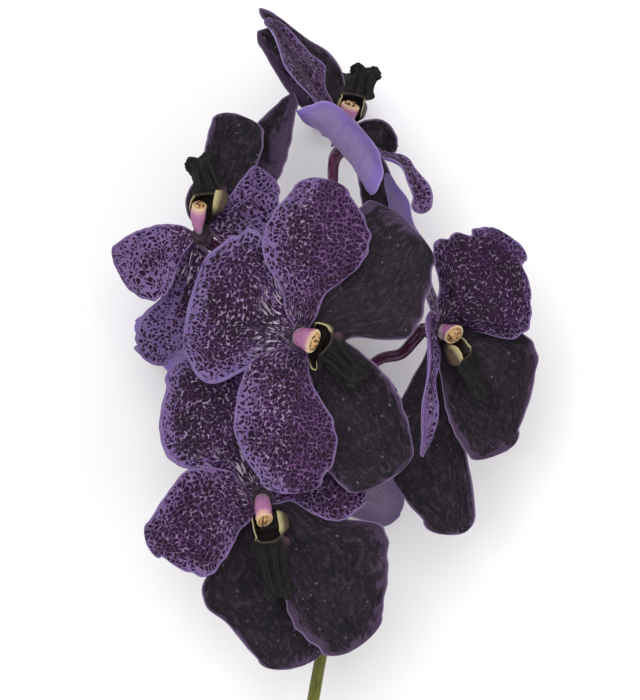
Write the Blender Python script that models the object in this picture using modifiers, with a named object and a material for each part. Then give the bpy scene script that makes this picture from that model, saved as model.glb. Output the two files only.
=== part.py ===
"""A cut spray of a dark spotted vanda orchid, lying on its back on a table.

Units: metres, +Z up. The spray's length runs along Y, with its tip at +Y and the cut end at -Y.
The driving sizes below are in millimetres, and MM turns them into metres.
"""

import math

import bmesh
import bpy
import numpy as np

MM = 0.001

# The origin lies under the middle of the whole spray. The sizes below are measured from the middle
# of the flowers, which is this far from it, in mm.
FLOWERS_FROM_ORIGIN = (-1.4, 46.9, 0.0)

# Flower parts, in mm.
TEPAL_THICKNESS = 0.8
LIP_THICKNESS = 1.1
HEAD_RADIUS = 3.3
HEAD_FRONT = 1.6
HEAD_BACK = -2.4
GAP = 0.3
CLAW_HALF_WIDTH = 1.8
SHOULDER_SHARE = 0.72
SEPAL_LEVEL = -0.75
PETAL_LEVEL = 0.75
PEDICEL_RADIUS = 1.5
LIP_ROOT_RADIUS = 3.2

# The stem, in mm: the path of its middle line from the cut end to the tip, and its radius.
STEM_PATH = (
    (-17.0, -204.0, 1.9),
    (-13.5, -176.0, 6.5),
    (-7.5, -145.0, 15.0),
    (-1.6, -112.0, 26.0),
    (2.2, -88.0, 34.0),
    (3.6, -60.0, 40.0),
    (3.2, -30.0, 43.0),
    (2.8, 0.0, 44.0),
    (3.6, 30.0, 45.0),
    (4.6, 52.0, 46.0),
)
STEM_RADIUS_CUT = 2.15
STEM_RADIUS_TIP = 1.5
STEM_SIDES = 10
STEM_RINGS = 46
STEM_RIB_DEPTH = 0.12
STEM_CUT_SLOPE = 0.9
BRACT_HEIGHT = 0.9
BRACT_LENGTH = 6.0
BRACT_BELOW_FOOT = 2.6

# The lowest a blade's middle surface may lie above the table, in mm.
TABLE_CLEARANCE = 0.45

TANGENT_STEP = 0.001


class Tepal:
    """One petal or sepal, in mm from the middle of its flower.

    path: the places at even steps along the midrib after the root. The last one is the tip.
    left, right: half widths at the shares of the length in WIDTH_AT, left and right of the midrib
        for someone who looks from root to tip with the upper side towards them.
    roll: how far the blade turns about its midrib, in degrees, at even steps from root to tip.
    cup: how far the edges stand in front of the midrib.
    wave: height, count and start of the waves along the edges.
    across: a fixed direction across the blade, for a blade that points at the sky.
    turn: how far the root is turned about the flower's axis from the blade's own direction, in
        degrees, so that two claws side by side stay clear.
    deeper: how much further behind the face of the flower the root sits.
    pointed: 0 for a round tip, 1 for a pointed one.
    """

    def __init__(
        self,
        path,
        left,
        right,
        roll=(0.0,),
        cup=1.0,
        wave=(0.8, 2.5, 0.0),
        across=None,
        turn=0.0,
        deeper=0.0,
        pointed=0.0,
    ):
        self.path = path
        self.left = left
        self.right = right
        self.roll = roll
        self.cup = cup
        self.wave = wave
        self.across = across
        self.turn = turn
        self.deeper = deeper
        self.pointed = pointed


class Flower:
    """One flower, in mm: its middle, the way it faces, where its column ends and the column's
    radius, its lip and its pedicel."""

    def __init__(self, middle, facing, column, girth, lip, pedicel, tepals):
        self.middle = middle
        self.facing = facing
        self.column = column
        self.girth = girth
        self.lip = lip
        self.pedicel = pedicel
        self.tepals = tepals


WIDTH_AT = (0.0, 0.08, 0.2, 0.45, 0.7, 0.9)
TEPAL_ROWS = (0.0, 0.05, 0.12, 0.22, 0.35, 0.5, 0.64, 0.77, 0.88, 0.95, 0.985, 1.0)
TEPAL_COLUMNS = (-1.0, -0.55, 0.0, 0.55, 1.0)

FLOWERS = {
    "middle": Flower(
        middle=(-6.4, 4.2, 76.0),
        facing=(0.2, -0.05, 0.97),
        column=(4.9, -1.8, 8.0),
        girth=3.0,
        lip=((8.4, -3.4, 6.0), (20.0, -15.0, 7.0)),
        pedicel=((2.8, -18.0, 44.0), (-4.0, -12.0, 50.0), (-13.0, -1.5, 60.0)),
        tepals={
            "dorsal_sepal": Tepal(
                ((-18.9, 3.8, -2.0), (-36.5, 8.0, -7.0)),
                (9.0, 16.0, 20.5, 14.0),
                (14.0, 29.0, 29.0, 21.0),
            ),
            "petal_1": Tepal(
                ((3.8, 28.2, 2.5), (6.4, 50.9, 2.0)),
                (7.5, 15.7, 13.8, 8.0),
                (5.5, 16.5, 17.0, 10.0),
            ),
            "petal_2": Tepal(
                ((-2.9, -27.5, 2.5), (-4.5, -50.2, 1.0)),
                (4.5, 13.0, 15.0, 11.0),
                (16.0, 18.0, 15.7, 8.6),
            ),
            "lateral_sepal_1": Tepal(
                ((20.2, 18.2, -2.5), (36.8, 34.9, -5.0)),
                (8.0, 14.0, 17.6, 17.0),
                (11.6, 23.0, 19.0, 13.0),
            ),
            "lateral_sepal_2": Tepal(
                ((17.0, -24.6, -4.5), (30.4, -44.8, -6.0)),
                (12.6, 15.6, 13.8, 10.2),
                (5.0, 13.0, 17.0, 15.4),
            ),
        },
    ),
    "lower": Flower(
        middle=(-18.6, -48.0, 67.0),
        facing=(0.0, -0.2, 0.98),
        column=(1.0, -7.4, 6.0),
        girth=2.6,
        lip=((2.4, -13.0, 5.0), (6.0, -33.0, 3.5)),
        pedicel=((3.4, -68.0, 38.5), (-3.0, -64.0, 48.0), (-16.0, -52.0, 56.0)),
        tepals={
            "dorsal_sepal": Tepal(
                ((-13.8, 24.3, -2.5), (-26.2, 45.4, -5.0)),
                (9.0, 19.8, 16.6, 8.5),
                (8.0, 15.0, 17.0, 12.0),
            ),
            "petal_1": Tepal(
                ((17.0, 2.8, -1.0), (33.2, 6.4, -4.0)),
                (6.0, 13.0, 14.0, 9.0),
                (1.8, 8.0, 11.5, 8.5),
            ),
            "petal_2": Tepal(
                ((-19.2, -7.4, 3.0), (-37.1, -15.4, -2.0)),
                (6.7, 13.8, 16.0, 6.8),
                (14.0, 17.0, 12.3, 7.0),
            ),
            "lateral_sepal_1": Tepal(
                ((16.0, -26.6, -6.0), (28.8, -49.6, -7.0)),
                (15.0, 27.0, 22.0, 14.0),
                (2.5, 9.3, 12.0, 8.6),
                turn=22.0,
            ),
            "lateral_sepal_2": Tepal(
                ((4.2, -29.1, -11.0), (9.6, -55.7, -13.0)),
                (3.0, 12.0, 15.0, 12.0),
                (14.0, 24.0, 16.5, 10.5),
                turn=-22.0,
            ),
        },
    ),
    "left": Flower(
        middle=(-38.4, 37.4, 60.0),
        facing=(-0.3, 0.45, 0.84),
        column=(0.3, 10.0, 5.5),
        girth=2.3,
        lip=((2.6, 12.5, 2.6), (-1.4, 26.0, 1.6)),
        pedicel=((3.4, 14.0, 44.5), (-8.0, 20.0, 49.0), (-28.0, 31.0, 53.0)),
        tepals={
            "dorsal_sepal": Tepal(
                ((-8.0, -22.7, -10.0), (-16.0, -42.2, -16.0)),
                (10.0, 15.0, 10.0, 5.0),
                (4.0, 5.5, 9.8, 8.5),
            ),
            "petal_1": Tepal(
                ((12.8, 9.4, -1.0), (23.4, 18.4, -5.0)),
                (4.0, 4.8, 6.5, 7.5),
                (10.0, 13.0, 12.0, 5.0),
            ),
            "petal_2": Tepal(
                ((-15.0, -4.8, -3.0), (-28.8, -9.6, -14.0)),
                (4.5, 12.8, 15.0, 10.5),
                (5.8, 7.5, 7.5, 6.0),
            ),
            "lateral_sepal_1": Tepal(
                ((16.0, 24.0, -18.0), (29.8, 47.4, -24.0)),
                (5.0, 6.0, 5.2, 2.6),
                (5.0, 11.0, 8.0, 4.2),
                (-12.0,),
                turn=-16.0,
                deeper=1.05,
                pointed=1.0,
            ),
            "lateral_sepal_2": Tepal(
                ((5.1, 20.8, -8.0), (10.4, 40.0, -14.0)),
                (7.5, 5.2, 6.2, 6.4),
                (4.0, 9.6, 12.0, 11.0),
                turn=16.0,
            ),
        },
    ),
    "right": Flower(
        middle=(38.1, 6.1, 58.0),
        facing=(0.85, -0.1, 0.5),
        column=(4.8, -2.0, 5.0),
        girth=3.0,
        lip=((7.8, -9.0, 4.0), (16.5, -21.5, 3.0)),
        pedicel=(
            (4.0, -22.0, 43.5),
            (12.0, -11.0, 47.0),
            (20.0, -2.8, 49.5),
            (26.5, -1.2, 50.5),
            (30.5, 3.0, 52.5),
        ),
        tepals={
            "dorsal_sepal": Tepal(
                (
                    (-2.4, 13.0, -4.0),
                    (-4.6, 24.0, -5.0),
                    (-10.0, 33.0, -6.0),
                    (-14.0, 42.0, -7.0),
                    (-16.4, 51.5, -8.0),
                ),
                (5.0, 10.0, 10.0, 6.0),
                (5.0, 10.0, 10.0, 6.0),
                (72.0, 84.0, 100.0, 108.0, 112.0),
            ),
            "petal_1": Tepal(
                ((13.8, 15.0, 2.0), (26.5, 28.9, -6.0)),
                (8.0, 19.5, 17.0, 11.5),
                (10.0, 20.5, 15.5, 6.0),
            ),
            "petal_2": Tepal(
                (
                    (-2.2, 1.0, 9.5),
                    (-3.2, -12.0, 18.0),
                    (-3.4, -27.0, 17.0),
                    (-4.8, -40.5, 9.0),
                ),
                (7.0, 8.0, 5.4, 3.4),
                (5.0, 7.0, 5.4, 3.4),
                across=(0.25, -0.6, -0.8),
                pointed=0.5,
            ),
            "lateral_sepal_1": Tepal(
                ((13.1, -20.2, -6.0), (23.4, -38.7, -10.0)),
                (19.0, 24.0, 15.0, 6.0),
                (6.0, 11.0, 13.0, 12.0),
                turn=16.0,
            ),
            "lateral_sepal_2": Tepal(
                ((2.2, -34.9, -13.0), (7.4, -66.4, -13.0)),
                (4.0, 6.0, 7.0, 6.5),
                (9.0, 18.5, 17.6, 11.0),
                turn=-16.0,
                deeper=1.05,
            ),
        },
    ),
    "top": Flower(
        middle=(8.3, 71.0, 58.0),
        facing=(0.05, 0.85, 0.5),
        column=(1.9, 8.0, 4.0),
        girth=2.5,
        lip=((3.4, 11.0, -1.0), (7.0, 22.0, -4.0)),
        pedicel=((4.6, 50.0, 46.0), (4.3, 56.0, 48.5), (4.6, 62.5, 50.5)),
        tepals={
            "dorsal_sepal": Tepal(
                ((-3.0, -4.8, 16.0), (2.0, 3.0, 29.5)),
                (9.0, 20.0, 21.0, 16.0),
                (8.0, 16.0, 15.5, 11.0),
                cup=-3.0,
                across=(0.68, -0.73, 0.0),
            ),
            "petal_1": Tepal(
                ((10.9, -7.0, 2.0), (18.9, -11.8, 6.0), (24.0, -19.8, 8.0), (24.3, -26.9, 8.0)),
                (4.0, 6.0, 3.6, 3.4),
                (4.0, 6.0, 3.6, 3.4),
                (-100.0, -80.0, -70.0, -30.0, 0.0),
            ),
            "petal_2": Tepal(
                ((-12.4, 18.0, 6.0), (-25.0, 36.8, 0.0)),
                (5.0, 11.0, 10.0, 5.0),
                (5.0, 11.0, 10.0, 5.0),
                (64.0,),
            ),
            "lateral_sepal_1": Tepal(
                ((10.9, 0.0, -8.0), (14.7, -7.7, -16.0)), (3.0, 4.0, 4.0, 3.0), (4.0, 8.0, 8.0, 6.0)
            ),
            "lateral_sepal_2": Tepal(
                ((-9.9, 21.1, -10.0), (-28.0, 41.0, -14.0)),
                (5.0, 7.0, 7.0, 2.4),
                (7.0, 8.0, 5.0, 2.0),
                (42.0,),
                pointed=1.0,
            ),
        },
    ),
    "back_upper": Flower(
        middle=(9.0, 73.0, 28.0),
        facing=(-0.1, 0.95, 0.2),
        column=(0.5, 7.0, 0.6),
        girth=2.4,
        lip=((0.0, 10.0, -4.0), (0.0, 20.0, -12.0)),
        pedicel=((4.6, 46.0, 43.0), (4.2, 54.0, 37.0), (5.6, 64.0, 30.0)),
        tepals={
            "dorsal_sepal": Tepal(
                ((2.0, -3.0, -13.0), (4.0, -6.0, -28.0)),
                (4.0, 7.0, 7.0, 5.0),
                (4.0, 7.0, 7.0, 5.0),
                across=(1.0, 0.0, 0.0),
            ),
            "petal_1": Tepal(
                ((9.0, 1.5, -10.0), (9.6, 0.0, -28.0)),
                (3.5, 4.5, 4.5, 3.5),
                (3.5, 4.5, 4.5, 3.5),
                across=(0.9, 0.1, 0.1),
            ),
            "petal_2": Tepal(
                ((-7.0, 5.0, -10.0), (-9.0, 2.0, -28.0)),
                (4.0, 5.5, 5.5, 4.0),
                (4.0, 5.5, 5.5, 4.0),
                across=(0.8, -0.5, -0.3),
            ),
            "lateral_sepal_1": Tepal(
                ((6.5, -15.0, 1.0), (8.5, -31.0, 2.0)), (4.0, 7.0, 8.0, 6.0), (2.0, 3.0, 3.0, 2.5)
            ),
            "lateral_sepal_2": Tepal(
                ((-13.5, 15.5, 5.0), (-29.5, 32.0, 8.0)),
                (4.5, 6.8, 5.6, 3.0),
                (6.0, 10.0, 9.0, 6.0),
                pointed=1.0,
            ),
        },
    ),
    "back_lower": Flower(
        middle=(-18.0, -22.0, 27.0),
        facing=(0.0, 0.0, -1.0),
        column=(0.5, -1.5, -8.0),
        girth=2.4,
        lip=((1.5, -9.0, -5.5), (4.0, -23.0, -8.0)),
        pedicel=((2.4, -38.0, 40.5), (-6.0, -36.0, 37.0), (-17.0, -26.0, 34.0)),
        tepals={
            "dorsal_sepal": Tepal(
                ((8.0, 20.0, -1.0), (12.0, 38.0, -10.0)),
                (6.0, 13.0, 15.0, 8.0),
                (6.0, 13.0, 15.0, 8.0),
                (180.0,),
            ),
            "petal_1": Tepal(
                ((-22.0, 15.0, -3.0), (-44.0, 31.5, -26.7)),
                (6.0, 8.0, 7.0, 5.0),
                (6.0, 8.0, 6.0, 4.0),
                (180.0,),
            ),
            "petal_2": Tepal(
                ((22.0, 5.0, -9.0), (43.4, 9.0, -26.6)),
                (6.0, 13.0, 13.0, 8.0),
                (6.0, 10.0, 9.0, 4.0),
                (180.0,),
            ),
            "lateral_sepal_1": Tepal(
                ((21.0, -16.5, -3.0), (44.8, -33.2, -26.5)),
                (6.0, 10.0, 11.0, 8.0),
                (6.0, 9.0, 12.0, 8.0),
                (180.0,),
            ),
            "lateral_sepal_2": Tepal(
                ((-14.0, -20.0, -3.0), (-22.0, -40.0, -26.7)),
                (6.0, 9.0, 9.0, 6.0),
                (6.0, 13.0, 15.0, 8.0),
                (180.0,),
            ),
        },
    ),
}


def unit(vector):
    vector = np.asarray(vector, float)
    length = np.linalg.norm(vector, axis=-1, keepdims=True)
    return vector / np.maximum(length, 1e-12)


def ease(share):
    share = np.clip(share, 0.0, 1.0)
    return share * share * (3.0 - 2.0 * share)


def smooth_through(knots, values, at):
    """A smooth curve through the values at the knots, read at the places in at."""
    knots = np.asarray(knots, float)
    values = np.asarray(values, float)
    at = np.asarray(at, float)
    if len(knots) == 1:
        return np.repeat(values[:1], len(at), axis=0)
    slopes = np.gradient(values, knots, axis=0)
    cell = np.clip(np.searchsorted(knots, at, side="right") - 1, 0, len(knots) - 2)
    step = knots[cell + 1] - knots[cell]
    u = (at - knots[cell]) / step
    if values.ndim == 2:
        u = u[:, None]
        step = step[:, None]
    start = values[cell] * (1 + 2 * u) * (1 - u) ** 2
    end = values[cell + 1] * u**2 * (3 - 2 * u)
    bend = slopes[cell] * u * (1 - u) ** 2 * step - slopes[cell + 1] * u**2 * (1 - u) * step
    return start + end + bend


def tangent_of(knots, places, s):
    """The direction of the curve of smooth_through at the places in s."""
    ahead = smooth_through(knots, places, np.minimum(s + TANGENT_STEP, 1.0))
    behind = smooth_through(knots, places, np.maximum(s - TANGENT_STEP, 0.0))
    return unit(ahead - behind)


def half_width(widths, s, pointed):
    """Half the width of a blade along its length: a narrow claw that soon widens to a shoulder,
    the given widths, and a round or pointed tip."""
    shoulder = max(CLAW_HALF_WIDTH, SHOULDER_SHARE * widths[0])
    widths = (CLAW_HALF_WIDTH, shoulder) + tuple(widths)
    body = smooth_through(WIDTH_AT, widths, np.minimum(s, WIDTH_AT[-1]))
    beyond = np.clip((s - WIDTH_AT[-1]) / (1.0 - WIDTH_AT[-1]), 0.0, 1.0)
    return body * np.maximum(1.0 - beyond**2, 0.02) ** (0.5 + 0.5 * pointed)


def tepal_points(flower, tepal, level, rows, columns):
    """The mid surface of a petal or sepal: rows by columns by 3, in mm from the flower's middle."""
    facing = unit(flower.facing)
    first = np.asarray(tepal.path[0], float)
    outward = unit(first - facing * first.dot(facing))
    turn = math.radians(tepal.turn)
    outward = outward * math.cos(turn) + np.cross(facing, outward) * math.sin(turn)
    root = facing * (level - tepal.deeper) + outward * (HEAD_RADIUS + GAP)
    places = np.vstack([root[None], np.asarray(tepal.path, float)])
    knots = np.linspace(0.0, 1.0, len(places))
    s = np.asarray(rows, float)
    midrib = smooth_through(knots, places, s)
    tangent = tangent_of(knots, places, s)
    if tepal.across is None:
        across = unit(np.cross((0.0, 0.0, 1.0), tangent))
    else:
        fixed = np.asarray(tepal.across, float)
        across = unit(fixed - tangent * (tangent @ fixed)[:, None])
    up = np.cross(tangent, across)
    roll_at = np.linspace(0.0, 1.0, len(tepal.roll))
    roll = np.radians(smooth_through(roll_at, tepal.roll, s))[:, None]
    across = across * np.cos(roll) + up * np.sin(roll)
    # The claw lies square to the flower's head, and the blade turns to its own roll beyond it.
    claw_across = unit(np.cross(facing, outward))
    if np.dot(claw_across, across[len(s) // 4]) < 0:
        claw_across = -claw_across
    turned = ease(s / 0.25)[:, None]
    across = unit(claw_across * (1.0 - turned) + across * turned)
    across = unit(across - tangent * np.sum(across * tangent, axis=1, keepdims=True))
    up = np.cross(tangent, across)
    t = np.asarray(columns, float)[None, :]
    left = half_width(tepal.left, s, tepal.pointed)[:, None]
    right = half_width(tepal.right, s, tepal.pointed)[:, None]
    side = np.where(t > 0, left, right) * t
    height, count, start = tepal.wave
    turns = count * s[:, None] + start + 0.3 * (t > 0)
    edge_wave = height * np.abs(t) ** 1.6 * np.sin(2.0 * math.pi * turns)
    lift = tepal.cup * t**2 * np.sin(math.pi * np.minimum(s, 0.98))[:, None] ** 0.7
    lift = lift + edge_wave * ease(s / 0.3)[:, None]
    surface = midrib[:, None, :] + across[:, None, :] * side[..., None]
    surface = surface + up[:, None, :] * lift[..., None]
    surface[..., 2] = np.maximum(surface[..., 2], TABLE_CLEARANCE - flower.middle[2])
    return surface


def flower_empty(name, flower, collection):
    """The empty at the middle of a flower, which carries all its pieces."""
    empty = bpy.data.objects.new(f"{name}_bloom", None)
    empty.empty_display_size = 5.0 * MM
    middle = np.asarray(flower.middle, float) + np.asarray(FLOWERS_FROM_ORIGIN)
    empty.location = middle * MM
    collection.objects.link(empty)
    return empty


def new_material(name, rgb, roughness):
    material = bpy.data.materials.new(name)
    material.use_nodes = True
    shader = material.node_tree.nodes["Principled BSDF"]
    shader.inputs["Base Color"].default_value = (*rgb, 1.0)
    shader.inputs["Roughness"].default_value = roughness
    shader.inputs["Metallic"].default_value = 0.0
    material.diffuse_color = (*rgb, 1.0)
    return material


def finish(obj, parent, collection, material):
    collection.objects.link(obj)
    obj.parent = parent
    obj.data.materials.append(material)
    return obj


def sheet_object(name, points, thickness, parent, collection, material):
    """A blade: an open surface of triangles, given its thickness by Solidify."""
    rows, columns = points.shape[:2]
    sheet = bmesh.new()
    corners = [sheet.verts.new(point) for point in points.reshape(-1, 3) * MM]
    for i in range(rows - 1):
        for j in range(columns - 1):
            a = corners[i * columns + j]
            b = corners[i * columns + j + 1]
            c = corners[(i + 1) * columns + j + 1]
            d = corners[(i + 1) * columns + j]
            if (j < columns // 2) == (i % 2 == 0):
                sheet.faces.new((a, c, b))
                sheet.faces.new((a, d, c))
            else:
                sheet.faces.new((a, d, b))
                sheet.faces.new((b, d, c))
    mesh = bpy.data.meshes.new(name)
    sheet.to_mesh(mesh)
    sheet.free()
    mesh.shade_smooth()
    obj = bpy.data.objects.new(name, mesh)
    finish(obj, parent, collection, material)
    solidify = obj.modifiers.new("Thickness", "SOLIDIFY")
    solidify.thickness = thickness * MM
    solidify.offset = 0.0
    return obj


def tube_object(name, path, radii, parent, collection, material):
    """A round tube of changing radius with filled caps."""
    curve = bpy.data.curves.new(name, "CURVE")
    curve.dimensions = "3D"
    curve.bevel_depth = MM
    curve.bevel_resolution = 2
    curve.use_fill_caps = True
    spline = curve.splines.new("POLY")
    spline.points.add(len(path) - 1)
    for point, in_metres, radius in zip(spline.points, path * MM, radii):
        point.co = (*in_metres, 1.0)
        point.radius = radius
    obj = bpy.data.objects.new(name, curve)
    return finish(obj, parent, collection, material)


def stem_line(s):
    return smooth_through(np.linspace(0.0, 1.0, len(STEM_PATH)), STEM_PATH, s)


def stem_radius(s):
    return STEM_RADIUS_CUT + (STEM_RADIUS_TIP - STEM_RADIUS_CUT) * np.asarray(s)


def nearest_on_stem(point):
    s = np.linspace(0.0, 1.0, 2001)
    line = stem_line(s)
    return s[np.argmin(np.linalg.norm(line - np.asarray(point, float), axis=1))]


def pedicel_foot(flower):
    """Where a pedicel leaves the stem: the share along the stem, the place on the stem's middle
    line, and the direction away from it."""
    s = nearest_on_stem(flower.pedicel[0])
    foot = stem_line(np.array([s]))[0]
    along = tangent_of(np.linspace(0.0, 1.0, len(STEM_PATH)), STEM_PATH, np.array([s]))[0]
    away = np.asarray(flower.pedicel[1], float) - foot
    away = unit(away - along * away.dot(along))
    return s, foot, away


def pedicel_path(flower):
    """The pedicel's middle line, from just off the stem's skin to the front of the flower's head,
    in mm from the flower's middle."""
    s, foot, away = pedicel_foot(flower)
    facing = unit(flower.facing)
    start = foot + away * (float(stem_radius(s)) + STEM_RIB_DEPTH + GAP)
    bends = np.vstack([start, start + away * 2.5, np.asarray(flower.pedicel[1:], float)])
    places = np.vstack([bends - np.asarray(flower.middle, float), facing * (HEAD_BACK - 3.0)])
    run = np.concatenate([[0.0], np.cumsum(np.linalg.norm(np.diff(places, axis=0), axis=1))])
    body = smooth_through(run / run[-1], places, np.linspace(0.0, 1.0, 10))
    head = np.array([facing * HEAD_BACK, facing * HEAD_FRONT])
    return np.vstack([body, head])


def pedicel_radii():
    body = PEDICEL_RADIUS + 0.5 * np.linspace(0.0, 1.0, 10) ** 2
    return np.concatenate([body, [HEAD_RADIUS - 0.1, HEAD_RADIUS - 0.1]])


def column_path(flower):
    """The column's middle line, which rises from the head's face and bends over to its tip."""
    facing = unit(flower.facing)
    base = facing * (HEAD_FRONT + GAP)
    tip = np.asarray(flower.column, float) + facing * HEAD_FRONT
    knee = base + facing * 4.0
    s = np.linspace(0.0, 1.0, 8)[:, None]
    return base * (1 - s) ** 2 + 2 * knee * s * (1 - s) + tip * s**2


def column_radii(flower):
    return flower.girth * np.array([0.85, 0.92, 1.0, 1.08, 1.15, 1.15, 1.0, 0.7])


LIP_ROWS = (0.0, 0.09, 0.18, 0.27, 0.345, 0.4, 0.5, 0.62, 0.75, 0.88, 0.96, 1.0)
LIP_COLUMNS = (-1.0, -0.62, -0.3, 0.0, 0.3, 0.62, 1.0)
LIP_WIDTH_AT = (0.0, 0.18, 0.33, 0.42, 0.55, 0.75, 0.92, 1.0)
LIP_HALF_WIDTHS = (2.2, 4.8, 3.6, 6.2, 4.9, 4.4, 5.0, 3.6)
EAR_FOOT_IN_GIRTHS = 2.15
EAR_LEAN = 1.2
EAR_HEIGHT = 4.2
THROAT_SHARE = 0.38


def bump(s, middle, width):
    return np.exp(-(((s - middle) / width) ** 2))


def lip_points(flower, rows, columns):
    """The mid surface of the lip: two side lobes that stand up round a hollow throat and lean in
    over it, a low rim in front, and a ridged midlobe with two basal corners and a notched end."""
    facing = unit(flower.facing)
    throat = np.asarray(flower.lip[0], float)
    end = np.asarray(flower.lip[1], float)
    outward = unit(throat - facing * throat.dot(facing))
    root = facing * (HEAD_FRONT + GAP + LIP_THICKNESS / 2) + outward * LIP_ROOT_RADIUS
    s = np.asarray(rows, float)
    knots = (0.0, THROAT_SHARE, 1.0)
    places = np.vstack([root, throat, end])
    line = smooth_through(knots, places, s)
    tangent = tangent_of(knots, places, s)
    across = unit(np.cross(facing, tangent))
    up = np.cross(tangent, across)
    s = s[:, None]
    t = np.asarray(columns, float)[None, :]
    side = smooth_through(LIP_WIDTH_AT, LIP_HALF_WIDTHS, s[:, 0])[:, None] * t
    ear = bump(s, 0.2, 0.13)
    wall = np.clip((np.abs(t) - 0.6) / 0.4, 0.0, 1.0)
    foot = EAR_FOOT_IN_GIRTHS * flower.girth
    reach = foot * np.minimum(np.abs(t) / 0.6, 1.0) - EAR_LEAN * wall**1.3
    side = side * (1.0 - ear) + ear * np.sign(t) * reach
    lift = EAR_HEIGHT * ear * np.clip((np.abs(t) - 0.45) / 0.55, 0.0, 1.0) ** 1.1
    lift = lift - 1.6 * bump(s, 0.2, 0.1) * (1.0 - t**2)
    lift = lift + 1.3 * bump(s, 0.345, 0.04) + 1.6 * bump(s, 0.42, 0.06) * np.abs(t) ** 3
    lift = lift - 1.5 * ease((s - 0.5) / 0.4) * t**2
    on_midlobe = ease((s - 0.38) / 0.1) * (1.0 - ease((s - 0.8) / 0.15))
    lift = lift + 0.5 * np.cos(2.0 * math.pi * t / 0.62) * on_midlobe
    lift = lift + 0.9 * np.sin(18.0 * s + 4.0 * t) * ease((s - 0.7) / 0.2) * np.abs(t)
    notch = 1.4 * ease((s - 0.9) / 0.1) * (1.0 - np.abs(t)) ** 1.5
    surface = line[:, None, :] + across[:, None, :] * side[..., None]
    surface = surface + up[:, None, :] * lift[..., None]
    return surface - tangent[:, None, :] * notch[..., None]


def bracts():
    """Where each bract sits: its length along the stem, in mm, and the side it is on."""
    s = np.linspace(0.0, 1.0, 2001)
    steps = np.linalg.norm(np.diff(stem_line(s), axis=0), axis=1)
    length = np.concatenate([[0.0], np.cumsum(steps)])
    found = []
    for flower in FLOWERS.values():
        share, _, away = pedicel_foot(flower)
        found.append((float(np.interp(share, s, length)), away))
    return found


def stem_object(collection, material):
    """The stem: a ribbed tube that swells under each pedicel into a small bract, with a slanting
    cut at its lower end."""
    s = np.linspace(0.0, 1.0, STEM_RINGS)
    line = stem_line(s)
    tangent = unit(np.gradient(line, axis=0))
    sideways = unit(np.cross(tangent, (0.0, 0.0, 1.0)))
    upward = np.cross(sideways, tangent)
    steps = np.linalg.norm(np.diff(line, axis=0), axis=1)
    length = np.concatenate([[0.0], np.cumsum(steps)])
    on_stem = bracts()
    places = []
    for i in range(STEM_RINGS):
        for k in range(STEM_SIDES):
            angle = 2.0 * math.pi * k / STEM_SIDES
            direction = sideways[i] * math.cos(angle) + upward[i] * math.sin(angle)
            radius = float(stem_radius(s[i])) + STEM_RIB_DEPTH * (k % 2 - 0.5)
            for bract_length, bract_side in on_stem:
                below = (bract_length - BRACT_BELOW_FOOT - length[i]) / BRACT_LENGTH
                if 0.0 <= below <= 1.0:
                    towards = max(0.0, float(direction.dot(bract_side))) ** 2
                    radius += BRACT_HEIGHT * (1.0 - below) * towards
            point = line[i] + direction * radius
            if i == 0:
                point = point - tangent[0] * STEM_CUT_SLOPE * math.sin(angle) * radius
            places.append(point)
    stem = bmesh.new()
    corners = [stem.verts.new(point) for point in np.array(places) * MM]
    for i in range(STEM_RINGS - 1):
        low = i * STEM_SIDES
        high = low + STEM_SIDES
        for k in range(STEM_SIDES):
            after = (k + 1) % STEM_SIDES
            below = (corners[low + k], corners[low + after])
            above = (corners[high + after], corners[high + k])
            stem.faces.new(below + above)
    stem.faces.new(corners[:STEM_SIDES])
    stem.faces.new(corners[-STEM_SIDES:])
    bmesh.ops.recalc_face_normals(stem, faces=stem.faces)
    mesh = bpy.data.meshes.new("stem")
    stem.to_mesh(mesh)
    stem.free()
    mesh.shade_smooth()
    obj = bpy.data.objects.new("stem", mesh)
    obj.location = np.asarray(FLOWERS_FROM_ORIGIN) * MM
    return finish(obj, None, collection, material)


def main():
    for obj in list(bpy.data.objects):
        bpy.data.objects.remove(obj)
    collection = bpy.data.collections.new("cut_vanda_orchid")
    bpy.context.scene.collection.children.link(collection)
    spotted = new_material("Spotted lilac tepal", (0.16, 0.11, 0.30), 0.45)
    dark = new_material("Dark sepal", (0.022, 0.018, 0.026), 0.45)
    black = new_material("Black lip", (0.012, 0.012, 0.014), 0.4)
    pink = new_material("Pink column", (0.62, 0.33, 0.52), 0.4)
    purple = new_material("Purple pedicel", (0.13, 0.01, 0.09), 0.4)
    green = new_material("Green stem", (0.17, 0.21, 0.04), 0.5)
    for name, flower in FLOWERS.items():
        empty = flower_empty(name, flower, collection)
        path = pedicel_path(flower)
        tube_object(f"{name}_bloom_pedicel", path, pedicel_radii(), empty, collection, purple)
        path = column_path(flower)
        radii = column_radii(flower)
        tube_object(f"{name}_bloom_column", path, radii, empty, collection, pink)
        points = lip_points(flower, LIP_ROWS, LIP_COLUMNS)
        sheet_object(f"{name}_bloom_lip", points, LIP_THICKNESS, empty, collection, black)
        for piece, tepal in flower.tepals.items():
            level = PETAL_LEVEL if piece.startswith("petal") else SEPAL_LEVEL
            finish_of = dark if piece.startswith("lateral") else spotted
            points = tepal_points(flower, tepal, level, TEPAL_ROWS, TEPAL_COLUMNS)
            piece_name = f"{name}_bloom_{piece}"
            sheet_object(piece_name, points, TEPAL_THICKNESS, empty, collection, finish_of)
    stem_object(collection, green)


main()
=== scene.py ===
"""The looks of a cut spray of a dark spotted vanda orchid that lies on its back on a table.

Run with Blender 4.5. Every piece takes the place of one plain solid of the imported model: the
same forms are worked out again here on a fine grid, with rims, veins, creases and markings.
Lengths in the data below are in millimetres, and MM turns them into metres.
"""

import math
from dataclasses import dataclass
from functools import partial

import bpy
import bmesh
import numpy as np
from bpy.props import FloatProperty, FloatVectorProperty, IntProperty, PointerProperty
from mathutils import Matrix, Vector


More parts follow.
